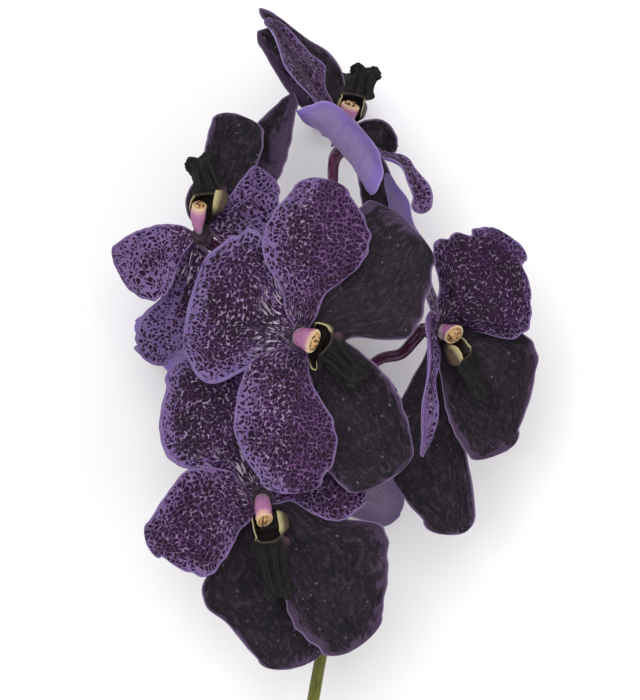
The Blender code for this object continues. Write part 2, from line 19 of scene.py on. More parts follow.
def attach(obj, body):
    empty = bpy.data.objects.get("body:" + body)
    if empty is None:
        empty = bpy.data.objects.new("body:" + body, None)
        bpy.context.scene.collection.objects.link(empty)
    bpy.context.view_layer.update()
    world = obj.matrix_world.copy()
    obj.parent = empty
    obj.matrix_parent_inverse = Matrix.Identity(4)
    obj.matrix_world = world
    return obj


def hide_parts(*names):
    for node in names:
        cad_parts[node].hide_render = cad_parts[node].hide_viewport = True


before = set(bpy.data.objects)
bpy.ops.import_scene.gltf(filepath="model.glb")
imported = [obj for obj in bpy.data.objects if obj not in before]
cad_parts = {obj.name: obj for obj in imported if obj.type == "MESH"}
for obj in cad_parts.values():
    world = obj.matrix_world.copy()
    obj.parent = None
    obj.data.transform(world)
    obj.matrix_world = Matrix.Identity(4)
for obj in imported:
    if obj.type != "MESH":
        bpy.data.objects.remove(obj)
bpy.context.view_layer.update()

bl_info = {
    "name": "Cut Vanda Orchid",
    "version": (1, 0, 0),
    "blender": (4, 5, 0),
    "location": "View3D > Sidebar > Orchid",
    "description": "Makes the petals, lips, columns, stalks and stem of a cut vanda orchid",
    "category": "Add Mesh",
}

MM = 0.001

# The origin lies under the middle of the whole spray. The sizes below are measured from the middle
# of the flowers, which is this far from it, in mm.
FLOWERS_FROM_ORIGIN = (-1.4, 46.9, 0.0)

# Flower parts, in mm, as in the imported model. Levels are measured forward from the head's middle.
HEAD_RADIUS = 3.3
HEAD_FRONT = 1.6
HEAD_BACK = -2.4
GAP = 0.3
# The claws of a real flower touch each other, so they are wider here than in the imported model.
CLAW_HALF_WIDTH = 2.1
CLAW_START = HEAD_RADIUS - 0.5
# The share of a blade's length over which its claw turns into the blade.
CLAW_TURN = 0.25
# The half width at a blade's shoulder, as a share of the first one that the blade gives.
SHOULDER_SHARE = 0.73
SEPAL_LEVEL = -0.75
PETAL_LEVEL = 0.75
PEDICEL_RADIUS = 1.5
LIP_ROOT_RADIUS = 3.2
LIP_SHEET = 1.1

# The stem, in mm: the path of its middle line from the cut end to the tip, and its radius.
STEM_PATH = (
    (-17.0, -204.0, 1.9),
    (-13.5, -176.0, 6.5),
    (-7.5, -145.0, 15.0),
    (-1.6, -112.0, 26.0),
    (2.2, -88.0, 34.0),
    (3.6, -60.0, 40.0),
    (3.2, -30.0, 43.0),
    (2.8, 0.0, 44.0),
    (3.6, 30.0, 45.0),
    (4.6, 52.0, 46.0),
)
STEM_RADIUS_CUT = 2.15
STEM_RADIUS_TIP = 1.5
STEM_RIB_DEPTH = 0.12
STEM_CUT_SLOPE = 0.9
STEM_CUT_REACH = 0.4
BRACT_BELOW_FOOT = 2.6
# The lowest a blade's middle surface may lie above the table, in mm.
TABLE_CLEARANCE = 0.45

# How far to either side the direction of a curve is read, as a share of its length.
TANGENT_STEP = 0.001
STEM_RINGS = 240

# Fine forms, in mm; shares are of the thickness, of the half width or of the length.
RIM_SHARE = 0.45
RIM_REACH = 1.6
VEIN_HEIGHT = 0.06
VEINS_A_SIDE = 5.0
MIDRIB_DEPTH = 0.3
MIDRIB_SHARE = 0.055
SWELLS = 7
SWELLS_ALONG = (0.6, 2.6)
SWELLS_ACROSS = (-1.4, 1.4)
SWELL_HEIGHT = 0.13
WAVE_HEIGHT = 0.8
WAVES_A_BLADE = 2.5
# How far the waves of the left margin are ahead of those of the right one, in waves.
WAVE_LEAD = 0.3
MARGIN_WOBBLE = 0.035
PEDICEL_RINGS = 70
HEAD_RINGS = 12
FLARE_LENGTH = 2.6
# The round section that is swept: its corners, and the depth of its ribs as a share of its radius.
STALK_SECTION = {"Sides": 48, "Rib Depth": 0.09}
STEM_SECTION = {"Sides": 54, "Rib Depth": 0.05}
# The rows of a lip's grid: where a span of them starts and ends along the lip, and their count.
LIP_ROWS = ((0.0, 0.3, 34), (0.3, 0.46, 44), (0.46, 1.0, 46))
LIP_COLUMNS = 45
LIP_CROWDING = 0.3
LIP_KEEL_HEIGHT = 0.35
LIP_WIDTH_AT = (0.0, 0.18, 0.33, 0.42, 0.55, 0.75, 0.92, 1.0)
LIP_HALF_WIDTHS = (2.2, 4.8, 3.6, 6.2, 4.9, 4.4, 5.0, 3.6)
EAR_FOOT_IN_GIRTHS = 2.15
EAR_HEIGHT = 4.2
# Where along the lip its forms lie and how far they spread, as shares of its length.
EAR_AT, EAR_SPREAD = 0.2, 0.15
THROAT_SPREAD = 0.1
FRONT_RIM_AT, FRONT_RIM_SPREAD = 0.345, 0.035
CORNER_AT, CORNER_SPREAD = 0.42, 0.06
# Where across the lip the side lobes fold up, as a share of its half width, and heights in mm.
EAR_FOLD = 0.6
THROAT_DEPTH = 1.6
FRONT_RIM_HEIGHT = 1.3
CORNER_HEIGHT = 1.6
SIDE_DROOP = 1.5
RIDGE_HEIGHT, RIDGE_SPACING = 0.35, 0.62
END_WAVE_HEIGHT = 0.9
FRILL_HEIGHT = 0.28
END_NOTCH_DEPTH = 1.4
RAGGED_SHARE = 0.07
# The share of a lip's middle line at which it passes the throat.
THROAT_SHARE = 0.38

# The side lobes of single lips: how much further out the foot of the left one stands, how far its
# top leans inward and how far it stands ahead, in mm, and the same for the right one. Last comes
# the side whose corner is mauve (1 left, -1 right).
LIP_SHAPES = {
    "middle": ((0.2, 0.5, 1.3), (0.4, -1.6, 5.6), 1),
    "lower": ((1.1, 2.5, 0.0), (-2.0, -0.6, 0.6), 1),
    "left": ((-1.2, -0.4, 0.6), (1.4, 2.4, 5.4), -1),
    "right": ((-3.6, -0.4, -1.0), (2.0, 0.55, 5.2), 0),
    "top": ((-0.1, 1.8, 0.0), (-1.0, -0.4, 0.0), 0),
}
USUAL_LIP = ((0.0, 0.6, 0.0), (0.0, 0.6, 0.0), 0)

# Single columns: the share of its width at the foot and across its tip, how flat its tip is, how
# much longer it is, in mm, and how far its end is cut back on the side of the sky.
COLUMN_SHAPES = {
    "middle": (1.15, 1.12, 0.42, 0.9, 0.0),
    "lower": (1.0, 0.75, 0.0, 0.3, 0.5),
    "left": (0.55, 0.85, 0.1, 0.3, 0.35),
    "right": (1.05, 1.0, 0.1, -1.4, -0.3),
}
USUAL_COLUMN = (1.0, 1.0, 0.3, 0.0, 0.0)
COLUMN_RINGS = 34
COLUMN_SIDES = 48
# The share of a column's middle line at which its body ends, how far from the flower's face the
# line bends, in mm, and the body's radii as shares of its girth, with where along it they lie.
COLUMN_BODY = 0.88
COLUMN_KNEE = 4.0
COLUMN_PROFILE_AT = (0.0, 0.25, 0.55, 0.8, 1.0)
COLUMN_PROFILE = (0.87, 0.92, 1.02, 1.13, 1.15)
# The depth of the hollow below its tip, as a share of the radius, and of its cap's furrow, in mm.
HOLLOW_SHARE = 0.32
FURROW_DEPTH = 0.3
# A bract, in radii of the stem, and half the angle over which it clasps the stem, in radians.
BRACT_STANDOFF = 0.5
BRACT_REACH = 3.4
BRACT_THICKNESS = 0.22
BRACT_CLASP = 1.25

# The end of the column, ring by ring: how far on, the share of its last radius, and how much the
# ring belongs to the anther cap and to the collar.
COLUMN_END = (
    (0.25, 1.0, 0.0, 0.3),
    (0.38, 0.94, 0.0, 1.0),
    (0.34, 0.86, 0.0, 0.5),
    (0.1, 0.82, 0.3, 0.0),
    (0.05, 0.78, 0.4, 0.0),
    (0.35, 0.76, 1.0, 0.0),
    (0.75, 0.7, 1.0, 0.0),
    (1.1, 0.58, 1.0, 0.0),
    (1.35, 0.4, 1.0, 0.0),
    (1.45, 0.2, 1.0, 0.0),
    (1.5, 0.06, 1.0, 0.0),
)

# Markings, in mm: the spacing of the spots across and along a blade, how far they drift from an
# even net, and the spacing of the flecks.
SPOT_ACROSS = 1.25
SPOT_ALONG = 1.65
SPOT_DRIFT = 2.2
FLECK_SPACING = 3.2

# How deep from the margin patches and a blade's mood move its dark middle, in mm.
PATCH_REACH = 8.0
MOOD_REACH = 5.0

# How petals and upper sepals are marked: where the dark middle starts and is full, in mm from the
# margin; the bare rim, in mm; how far along the blade the spots near the root and the pale streaks
# reach; the values between which bright flecks show; how wide the net is and how much wider where
# it is bright, and how large a spot is at the margin and in the middle, in cells; and how strong
# the clouds of shade are.
PETAL_LOOK = {
    "band": (1.5, 9.0),
    "rim": 0.15,
    "root": 0.4,
    "streaks": 0.12,
    "bright": (0.52, 0.64),
    "net": (0.08, 0.09),
    "small": 0.42,
    "large": 0.66,
    "shade": 0.4,
}
DORSAL_LOOK = {
    **PETAL_LOOK,
    "band": (2.5, 9.0),
    "rim": 0.9,
    "streaks": 0.42,
    "net": (0.04, 0.13),
    "large": 0.74,
}

# Blender's names for the nodes that the finishes use most, and the setting of a soft ramp.
MATH = "ShaderNodeMath"
VECTORS = "ShaderNodeVectorMath"
SPLIT = "ShaderNodeSeparateXYZ"
MIX = "ShaderNodeMix"
NOISE = "ShaderNodeTexNoise"
CELLS = "ShaderNodeTexVoronoi"
RAMP = "ShaderNodeMapRange"
SOFT = {"interpolation_type": "SMOOTHSTEP"}

# The soft boxes, with their names, places and sizes in m and powers in W, the strength of the
# white room round them, the height that they aim at and half the width of the table, in m.
SOFT_BOXES = (
    ("overhead_softbox", (-0.35, 0.55, 1.5), 1.2, 15.0),
    ("side_softbox", (0.9, -0.2, 1.2), 1.0, 6.0),
)
ROOM_LIGHT = 0.7
LIGHT_AIM_HEIGHT = 0.05
TABLE_REACH = 3.0

# The camera, in mm and m: its sensor, and the height of the picture on a plane this far up.
SENSOR = 36.0
PICTURE_HEIGHT = 0.224
PICTURE_PLANE = 0.08

PIECES = (
    "dorsal_sepal",
    "petal_1",
    "petal_2",
    "lateral_sepal_1",
    "lateral_sepal_2",
    "lip",
    "column",
)


@dataclass
class Tepal:
    """One petal or sepal, in mm from the middle of its flower.

    path: the places at even steps along the midrib after the root. The last one is the tip.
    left, right: half widths at the shares of the length in WIDTH_AT, left and right of the midrib
        for someone who looks from root to tip with the upper side towards them.
    roll: how far the blade turns about its midrib, in degrees, at even steps from root to tip.
    cup: how far the edges stand in front of the midrib.
    across: a fixed direction across the blade, for a blade that points at the sky.
    turn: how far the root is turned about the flower's axis from the blade's own direction, in
        degrees, so that two claws side by side stay clear.
    deeper: how much further behind the face of the flower the root sits.
    pointed: 0 for a round tip, 1 for a pointed one.
    """

    path: tuple
    left: tuple
    right: tuple
    roll: tuple = (0.0,)
    cup: float = 1.0
    across: tuple = None
    turn: float = 0.0
    deeper: float = 0.0
    pointed: float = 0.0


@dataclass
class Flower:
    """One flower, in mm: its middle, the way it faces, where its column ends and the column's
    radius, its lip and its pedicel."""

    middle: tuple
    facing: tuple
    column: tuple
    girth: float
    lip: tuple
    pedicel: tuple


# The shares of a blade's length at which its half widths lie. The first two are the claw and its
# shoulder, which are worked out, and the blade gives the others.
WIDTH_AT = (0.0, 0.08, 0.2, 0.45, 0.7, 0.9)

FLOWERS = {
    "middle": Flower(
        middle=(-6.4, 4.2, 76.0), facing=(0.2, -0.05, 0.97), column=(4.9, -1.8, 8.0), girth=3.0,
        lip=((8.4, -3.4, 6.0), (20.0, -15.0, 7.0)),
        pedicel=((2.8, -18.0, 44.0), (-4.0, -12.0, 50.0), (-13.0, -1.5, 60.0)),
    ),
    "lower": Flower(
        middle=(-18.6, -48.0, 67.0), facing=(0.0, -0.2, 0.98), column=(1.0, -7.4, 6.0), girth=2.6,
        lip=((2.4, -13.0, 5.0), (6.0, -33.0, 3.5)),
        pedicel=((3.4, -68.0, 38.5), (-3.0, -64.0, 48.0), (-16.0, -52.0, 56.0)),
    ),
    "left": Flower(
        middle=(-38.4, 37.4, 60.0), facing=(-0.3, 0.45, 0.84), column=(0.3, 10.0, 5.5), girth=2.3,
        lip=((2.6, 12.5, 2.6), (-1.4, 26.0, 1.6)),
        pedicel=((3.4, 14.0, 44.5), (-8.0, 20.0, 49.0), (-28.0, 31.0, 53.0)),
    ),
    "right": Flower(
        middle=(38.1, 6.1, 58.0), facing=(0.85, -0.1, 0.5), column=(4.8, -2.0, 5.0), girth=3.0,
        lip=((7.8, -9.0, 4.0), (16.5, -21.5, 3.0)),
        pedicel=(
            (4.0, -22.0, 43.5), (12.0, -11.0, 47.0), (20.0, -2.8, 49.5), (26.5, -1.2, 50.5),
            (30.5, 3.0, 52.5),
        ),
    ),
    "top": Flower(
        middle=(8.3, 71.0, 58.0), facing=(0.05, 0.85, 0.5), column=(1.9, 8.0, 4.0), girth=2.5,
        lip=((3.4, 11.0, -1.0), (7.0, 22.0, -4.0)),
        pedicel=((4.6, 50.0, 46.0), (4.3, 56.0, 48.5), (4.6, 62.5, 50.5)),
    ),
    "back_upper": Flower(
        middle=(9.0, 73.0, 28.0), facing=(-0.1, 0.95, 0.2), column=(0.5, 7.0, 0.6), girth=2.4,
        lip=((0.0, 10.0, -4.0), (0.0, 20.0, -12.0)),
        pedicel=((4.6, 46.0, 43.0), (4.2, 54.0, 37.0), (5.6, 64.0, 30.0)),
    ),
    "back_lower": Flower(
        middle=(-18.0, -22.0, 27.0), facing=(0.0, 0.0, -1.0), column=(0.5, -1.5, -8.0), girth=2.4,
        lip=((1.5, -9.0, -5.5), (4.0, -23.0, -8.0)),
        pedicel=((2.4, -38.0, 40.5), (-6.0, -36.0, 37.0), (-17.0, -26.0, 34.0)),
    ),
}

TEPALS = {
    ("middle", "dorsal_sepal"): Tepal(
        ((-18.9, 3.8, -2.0), (-36.5, 8.0, -7.0)), (9.0, 16.0, 20.5, 14.0), (14.0, 29.0, 29.0, 21.0),
    ),
    ("middle", "petal_1"): Tepal(
        ((3.8, 28.2, 2.5), (6.4, 50.9, 2.0)), (7.5, 15.7, 13.8, 8.0), (5.5, 16.5, 17.0, 10.0),
    ),
    ("middle", "petal_2"): Tepal(
        ((-2.9, -27.5, 2.5), (-4.5, -50.2, 1.0)), (4.5, 13.0, 15.0, 11.0), (16.0, 18.0, 15.7, 8.6),
    ),
    ("middle", "lateral_sepal_1"): Tepal(
        ((20.2, 18.2, -2.5), (36.8, 34.9, -5.0)), (8.0, 14.0, 17.6, 17.0), (11.6, 23.0, 19.0, 13.0),
    ),
    ("middle", "lateral_sepal_2"): Tepal(
        ((17.0, -24.6, -4.5), (30.4, -44.8, -6.0)), (12.6, 15.6, 13.8, 10.2), (5.0, 13.0, 17.0, 15.4),
    ),
    ("lower", "dorsal_sepal"): Tepal(
        ((-13.8, 24.3, -2.5), (-26.2, 45.4, -5.0)), (9.0, 19.8, 16.6, 8.5), (8.0, 15.0, 17.0, 12.0),
    ),
    ("lower", "petal_1"): Tepal(
        ((17.0, 2.8, -1.0), (33.2, 6.4, -4.0)), (6.0, 13.0, 14.0, 9.0), (1.8, 8.0, 11.5, 8.5),
    ),
    ("lower", "petal_2"): Tepal(
        ((-19.2, -7.4, 3.0), (-37.1, -15.4, -2.0)), (6.7, 13.8, 16.0, 6.8), (14.0, 17.0, 12.3, 7.0),
    ),
    ("lower", "lateral_sepal_1"): Tepal(
        ((16.0, -26.6, -6.0), (28.8, -49.6, -7.0)), (15.0, 27.0, 22.0, 14.0), (2.5, 9.3, 12.0, 8.6),
        turn=22.0,
    ),
    ("lower", "lateral_sepal_2"): Tepal(
        ((4.2, -29.1, -11.0), (9.6, -55.7, -13.0)), (3.0, 12.0, 15.0, 12.0), (14.0, 24.0, 16.5, 10.5),
        turn=-22.0,
    ),
    ("left", "dorsal_sepal"): Tepal(
        ((-8.0, -22.7, -10.0), (-16.0, -42.2, -16.0)), (10.0, 15.0, 10.0, 5.0), (4.0, 5.5, 9.8, 8.5),
    ),
    ("left", "petal_1"): Tepal(
        ((12.8, 9.4, -1.0), (23.4, 18.4, -5.0)), (4.0, 4.8, 6.5, 7.5), (10.0, 13.0, 12.0, 5.0),
    ),
    ("left", "petal_2"): Tepal(
        ((-15.0, -4.8, -3.0), (-28.8, -9.6, -14.0)), (4.5, 12.8, 15.0, 10.5), (5.8, 7.5, 7.5, 6.0),
    ),
    ("left", "lateral_sepal_1"): Tepal(
        ((16.0, 24.0, -18.0), (29.8, 47.4, -24.0)), (5.0, 6.0, 5.2, 2.6), (5.0, 11.0, 8.0, 4.2),
        (-12.0,), turn=-16.0, deeper=1.05, pointed=1.0,
    ),
    ("left", "lateral_sepal_2"): Tepal(
        ((5.1, 20.8, -8.0), (10.4, 40.0, -14.0)), (7.5, 5.2, 6.2, 6.4), (4.0, 9.6, 12.0, 11.0),
        turn=16.0,
    ),
    ("right", "dorsal_sepal"): Tepal(
        (
            (-2.4, 13.0, -4.0), (-4.6, 24.0, -5.0), (-10.0, 33.0, -6.0), (-14.0, 42.0, -7.0),
            (-16.4, 51.5, -8.0),
        ),
        (5.0, 10.0, 10.0, 6.0), (5.0, 10.0, 10.0, 6.0), (72.0, 84.0, 100.0, 108.0, 112.0),
    ),
    ("right", "petal_1"): Tepal(
        ((13.8, 15.0, 2.0), (26.5, 28.9, -6.0)), (8.0, 19.5, 17.0, 11.5), (10.0, 20.5, 15.5, 6.0),
    ),
    ("right", "petal_2"): Tepal(
        ((-2.2, 1.0, 9.5), (-3.2, -12.0, 18.0), (-3.4, -27.0, 17.0), (-4.8, -40.5, 9.0)),
        (7.0, 8.0, 5.4, 3.4), (5.0, 7.0, 5.4, 3.4), across=(0.25, -0.6, -0.8), pointed=0.5,
    ),
    ("right", "lateral_sepal_1"): Tepal(
        ((13.1, -20.2, -6.0), (23.4, -38.7, -10.0)), (19.0, 24.0, 15.0, 6.0), (6.0, 11.0, 13.0, 12.0),
        turn=16.0,
    ),
    ("right", "lateral_sepal_2"): Tepal(
        ((2.2, -34.9, -13.0), (7.4, -66.4, -13.0)), (4.0, 6.0, 7.0, 6.5), (9.0, 18.5, 17.6, 11.0),
        turn=-16.0, deeper=1.05,
    ),
    ("top", "dorsal_sepal"): Tepal(
        ((-3.0, -4.8, 16.0), (2.0, 3.0, 29.5)), (9.0, 20.0, 21.0, 16.0), (8.0, 16.0, 15.5, 11.0),
        cup=-3.0, across=(0.68, -0.73, 0.0),
    ),
    ("top", "petal_1"): Tepal(
        ((10.9, -7.0, 2.0), (18.9, -11.8, 6.0), (24.0, -19.8, 8.0), (24.3, -26.9, 8.0)),
        (4.0, 6.0, 3.6, 3.4), (4.0, 6.0, 3.6, 3.4), (-100.0, -80.0, -70.0, -30.0, 0.0),
    ),
    ("top", "petal_2"): Tepal(
        ((-12.4, 18.0, 6.0), (-25.0, 36.8, 0.0)), (5.0, 11.0, 10.0, 5.0), (5.0, 11.0, 10.0, 5.0),
        (64.0,),
    ),
    ("top", "lateral_sepal_1"): Tepal(
        ((10.9, 0.0, -8.0), (14.7, -7.7, -16.0)), (3.0, 4.0, 4.0, 3.0), (4.0, 8.0, 8.0, 6.0),
    ),
    ("top", "lateral_sepal_2"): Tepal(
        ((-9.9, 21.1, -10.0), (-28.0, 41.0, -14.0)), (5.0, 7.0, 7.0, 2.4), (7.0, 8.0, 5.0, 2.0),
        (42.0,), pointed=1.0,
    ),
    ("back_upper", "dorsal_sepal"): Tepal(
        ((2.0, -3.0, -13.0), (4.0, -6.0, -28.0)), (4.0, 7.0, 7.0, 5.0), (4.0, 7.0, 7.0, 5.0),
        across=(1.0, 0.0, 0.0),
    ),
    ("back_upper", "petal_1"): Tepal(
        ((9.0, 1.5, -10.0), (9.6, 0.0, -28.0)), (3.5, 4.5, 4.5, 3.5), (3.5, 4.5, 4.5, 3.5),
        across=(0.9, 0.1, 0.1),
    ),
    ("back_upper", "petal_2"): Tepal(
        ((-7.0, 5.0, -10.0), (-9.0, 2.0, -28.0)), (4.0, 5.5, 5.5, 4.0), (4.0, 5.5, 5.5, 4.0),
        across=(0.8, -0.5, -0.3),
    ),
    ("back_upper", "lateral_sepal_1"): Tepal(
        ((6.5, -15.0, 1.0), (8.5, -31.0, 2.0)), (4.0, 7.0, 8.0, 6.0), (2.0, 3.0, 3.0, 2.5),
    ),
    ("back_upper", "lateral_sepal_2"): Tepal(
        ((-13.5, 15.5, 5.0), (-29.5, 32.0, 8.0)), (4.5, 6.8, 5.6, 3.0), (6.0, 10.0, 9.0, 6.0),
        pointed=1.0,
    ),
    ("back_lower", "dorsal_sepal"): Tepal(
        ((8.0, 20.0, -1.0), (12.0, 38.0, -10.0)), (6.0, 13.0, 15.0, 8.0), (6.0, 13.0, 15.0, 8.0),
        (180.0,),
    ),
    ("back_lower", "petal_1"): Tepal(
        ((-22.0, 15.0, -3.0), (-44.0, 31.5, -26.7)), (6.0, 8.0, 7.0, 5.0), (6.0, 8.0, 6.0, 4.0),
        (180.0,),
    ),
    ("back_lower", "petal_2"): Tepal(
        ((22.0, 5.0, -9.0), (43.4, 9.0, -26.6)), (6.0, 13.0, 13.0, 8.0), (6.0, 10.0, 9.0, 4.0),
        (180.0,),
    ),
    ("back_lower", "lateral_sepal_1"): Tepal(
        ((21.0, -16.5, -3.0), (44.8, -33.2, -26.5)), (6.0, 10.0, 11.0, 8.0), (6.0, 9.0, 12.0, 8.0),
        (180.0,),
    ),
    ("back_lower", "lateral_sepal_2"): Tepal(
        ((-14.0, -20.0, -3.0), (-22.0, -40.0, -26.7)), (6.0, 9.0, 9.0, 6.0), (6.0, 13.0, 15.0, 8.0),
        (180.0,),
    ),
}

# The grid of each blade: rows from root to tip and columns from margin to margin.
BLADE_ROWS = 58
TIP_ROWS = 12
TIP_FROM = 0.9
BLADE_COLUMNS = 45
BLADE_CROWDING = 0.18

# Notches and, with a depth below 0, bulges in the margins, which the plain solids leave out: the
# side of the midrib (1 left, -1 right), the place along the blade, the depth in mm and the width
# as a share of the length.
NOTCHES = {
    ("right", "petal_1"): (
        (1, 0.6, 1.4, 0.03),
        (1, 0.75, 3.0, 0.035),
        (-1, 0.86, 2.2, 0.03),
        (1, 0.93, 1.0, 0.02),
        (-1, 0.3, -2.5, 0.12),
        (-1, 0.1, -1.5, 0.05),
    ),
    ("left", "petal_1"): ((-1, 0.06, -8.0, 0.06), (-1, 0.2, -4.0, 0.1)),
    ("lower", "lateral_sepal_1"): ((1, 0.4, -2.5, 0.08),),
    ("top", "dorsal_sepal"): ((1, 0.7, 1.6, 0.4),),
    ("left", "dorsal_sepal"): (
        (1, 0.06, -6.0, 0.06),
        (1, 0.83, 1.2, 0.02),
        (1, 0.93, 1.5, 0.016),
        (-1, 0.9, 1.3, 0.02),
        (-1, 0.97, 1.0, 0.014),
    ),
    ("lower", "petal_2"): ((1, 0.74, 1.2, 0.03), (1, 0.93, 1.6, 0.025)),
}

# How single blades differ. For a petal: how warm its margin is, how far its dark middle reaches
# out, and how plain it is (below 0: darker). For a dark sepal: how wide its lilac margin is, how
# many flecks it has, and nothing. Last comes the side it holds for (1 left, -1 right, 0 both).
MOODS = {
    ("middle", "petal_1"): (0.35, 1.3, 0.0, -1),
    ("middle", "petal_2"): (0.4, 1.1, 0.0, 1),
    ("middle", "lateral_sepal_1"): (0.65, 0.2, 0.0, 1),
    ("middle", "lateral_sepal_2"): (0.2, 0.3, 0.0, 0),
    ("lower", "dorsal_sepal"): (0.2, 0.0, 0.0, 0),
    ("lower", "petal_1"): (0.8, 0.7, 0.0, 0),
    ("lower", "petal_2"): (0.6, 0.4, 0.0, 0),
    ("lower", "lateral_sepal_1"): (0.42, 0.1, 0.0, 0),
    ("lower", "lateral_sepal_2"): (0.42, 0.8, 0.0, 1),
    ("left", "lateral_sepal_1"): (1.8, 0.3, 0.0, -1),
    ("left", "petal_1"): (0.7, -0.9, -0.02, 0),
    ("left", "petal_2"): (0.7, -0.9, -0.02, 0),
    ("left", "dorsal_sepal"): (0.2, -1.0, 0.0, 0),
    ("top", "petal_1"): (0.5, 0.6, 0.0, 0),
    ("top", "petal_2"): (0.2, 0.8, 0.0, 0),
    ("back_upper", "lateral_sepal_2"): (1.0, 1.2, 0.0, 1),
    ("right", "petal_1"): (0.1, 0.6, -0.3, 0),
    ("right", "lateral_sepal_1"): (0.5, 0.4, 0.0, -1),
    ("right", "petal_2"): (0.3, 0.0, 0.25, -1),
    ("right", "dorsal_sepal"): (0.0, -1.0, 0.3, 0),
}
# The mood of a blade that is not in the table.
USUAL_MOOD = (0.06, 0.0, 0.0, 0)

# Creases that run out from the root of a dark sepal: the place across at the root and at the tip
# (from -1 to 1), the depth in mm and the width as a share of the half width.
CREASES = (
    (-0.1, -0.62, 0.2, 0.09),
    (0.08, 0.2, 0.25, 0.07),
    (0.2, 0.66, 0.2, 0.1),
)
# The crease depth at which the shade painted into a crease is full, in mm.
CREASE_SHADE_FULL = 0.5


def unit(vector):
    vector = np.asarray(vector, float)
    length = np.linalg.norm(vector, axis=-1, keepdims=True)
    return vector / np.maximum(length, 1e-12)


def ease(share):
    share = np.clip(share, 0.0, 1.0)
    return share * share * (3.0 - 2.0 * share)


def bump(s, middle, width):
    return np.exp(-(((s - middle) / width) ** 2))


def smooth_through(knots, values, at):
    """A smooth curve through the values at the knots, read at the places in at."""
    knots = np.asarray(knots, float)
    values = np.asarray(values, float)
    at = np.asarray(at, float)
    if len(knots) == 1:
        return np.repeat(values[:1], len(at), axis=0)
    slopes = np.gradient(values, knots, axis=0)
    cell = np.clip(np.searchsorted(knots, at, side="right") - 1, 0, len(knots) - 2)
    step = knots[cell + 1] - knots[cell]
    u = (at - knots[cell]) / step
    if values.ndim == 2:
        u = u[:, None]
        step = step[:, None]
    start = values[cell] * (1 + 2 * u) * (1 - u) ** 2
    end = values[cell + 1] * u**2 * (3 - 2 * u)
    bend = slopes[cell] * u * (1 - u) ** 2 * step - slopes[cell + 1] * u**2 * (1 - u) * step
    return start + end + bend


def tangent_of(knots, places, s):
    """The direction of the curve of smooth_through at the places in s."""
    ahead = smooth_through(knots, places, np.minimum(s + TANGENT_STEP, 1.0))
    behind = smooth_through(knots, places, np.maximum(s - TANGENT_STEP, 0.0))
    return unit(ahead - behind)


def half_width(widths, s, pointed):
    """Half the width of a blade along its length: a narrow claw that soon widens to a shoulder,
    the given widths, and a round or pointed tip."""
    shoulder = max(CLAW_HALF_WIDTH, SHOULDER_SHARE * widths[0])
    widths = (CLAW_HALF_WIDTH, shoulder) + tuple(widths)
    body = smooth_through(WIDTH_AT, widths, np.minimum(s, WIDTH_AT[-1]))
    beyond = np.clip((s - WIDTH_AT[-1]) / (1.0 - WIDTH_AT[-1]), 0.0, 1.0)
    return body * np.maximum(1.0 - beyond**2, 0.0009) ** (0.5 + 0.5 * pointed)


def blade_rows():
    """The places along a blade, closer together towards the round tip."""
    body = np.linspace(0.0, TIP_FROM, BLADE_ROWS, endpoint=False)
    turn = np.linspace(0.0, math.pi / 2, TIP_ROWS)
    return np.concatenate([body, TIP_FROM + (1.0 - TIP_FROM) * np.sin(turn)])


def crowded(count, share):
    """Places across a blade or a lip, from -1 to 1 and closer together towards the margins."""
    even = np.linspace(-1.0, 1.0, count)
    return (1.0 + share) * even - share * even**3


def uneven(s, seed, low, high, count=5):
    """A smooth random line over s, about -1 to 1, with between low and high waves."""
    random = np.random.default_rng(seed)
    waves = random.uniform(low, high, count)
    starts = random.uniform(0.0, 2.0 * math.pi, count)
    sizes = random.uniform(0.5, 1.0, count)
    total = sum(a * np.sin(2.0 * math.pi * w * s + b) for a, w, b in zip(sizes, waves, starts))
    return total / sizes.sum()


def blade_frame(flower, tepal, level, s):
    """The midrib of a blade and the directions across and up from it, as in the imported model."""
    facing = unit(flower.facing)
    first = np.asarray(tepal.path[0], float)
    outward = unit(first - facing * first.dot(facing))
    turn = math.radians(tepal.turn)
    outward = outward * math.cos(turn) + np.cross(facing, outward) * math.sin(turn)
    root = facing * (level - tepal.deeper) + outward * CLAW_START
    places = np.vstack([root[None], np.asarray(tepal.path, float)])
    knots = np.linspace(0.0, 1.0, len(places))
    midrib = smooth_through(knots, places, s)
    tangent = tangent_of(knots, places, s)
    if tepal.across is None:
        across = unit(np.cross((0.0, 0.0, 1.0), tangent))
    else:
        fixed = np.asarray(tepal.across, float)
        across = unit(fixed - tangent * (tangent @ fixed)[:, None])
    up = np.cross(tangent, across)
    roll_at = np.linspace(0.0, 1.0, len(tepal.roll))
    roll = np.radians(smooth_through(roll_at, tepal.roll, s))[:, None]
    across = across * np.cos(roll) + up * np.sin(roll)
    # The claw lies square to the flower's head, and the blade turns to its own roll beyond it.
    claw_across = unit(np.cross(facing, outward))
    beyond = int(np.searchsorted(s, 0.88 * CLAW_TURN))
    if np.dot(claw_across, across[beyond]) < 0:
        claw_across = -claw_across
    turned = ease(s / CLAW_TURN)[:, None]
    across = unit(claw_across * (1.0 - turned) + across * turned)
    across = unit(across - tangent * np.sum(across * tangent, axis=1, keepdims=True))
    return midrib, across, np.cross(tangent, across)


def creases(s, t):
    """How deep the creases of a dark sepal are, in mm."""
    total = 0.0 * s * t
    for at_root, at_tip, depth, width in CREASES:
        place = at_root + (at_tip - at_root) * s
        total = total + depth * bump(t, place, width) * ease(s / 0.2)
    return total * (1.0 - ease((s - 0.8) / 0.2))


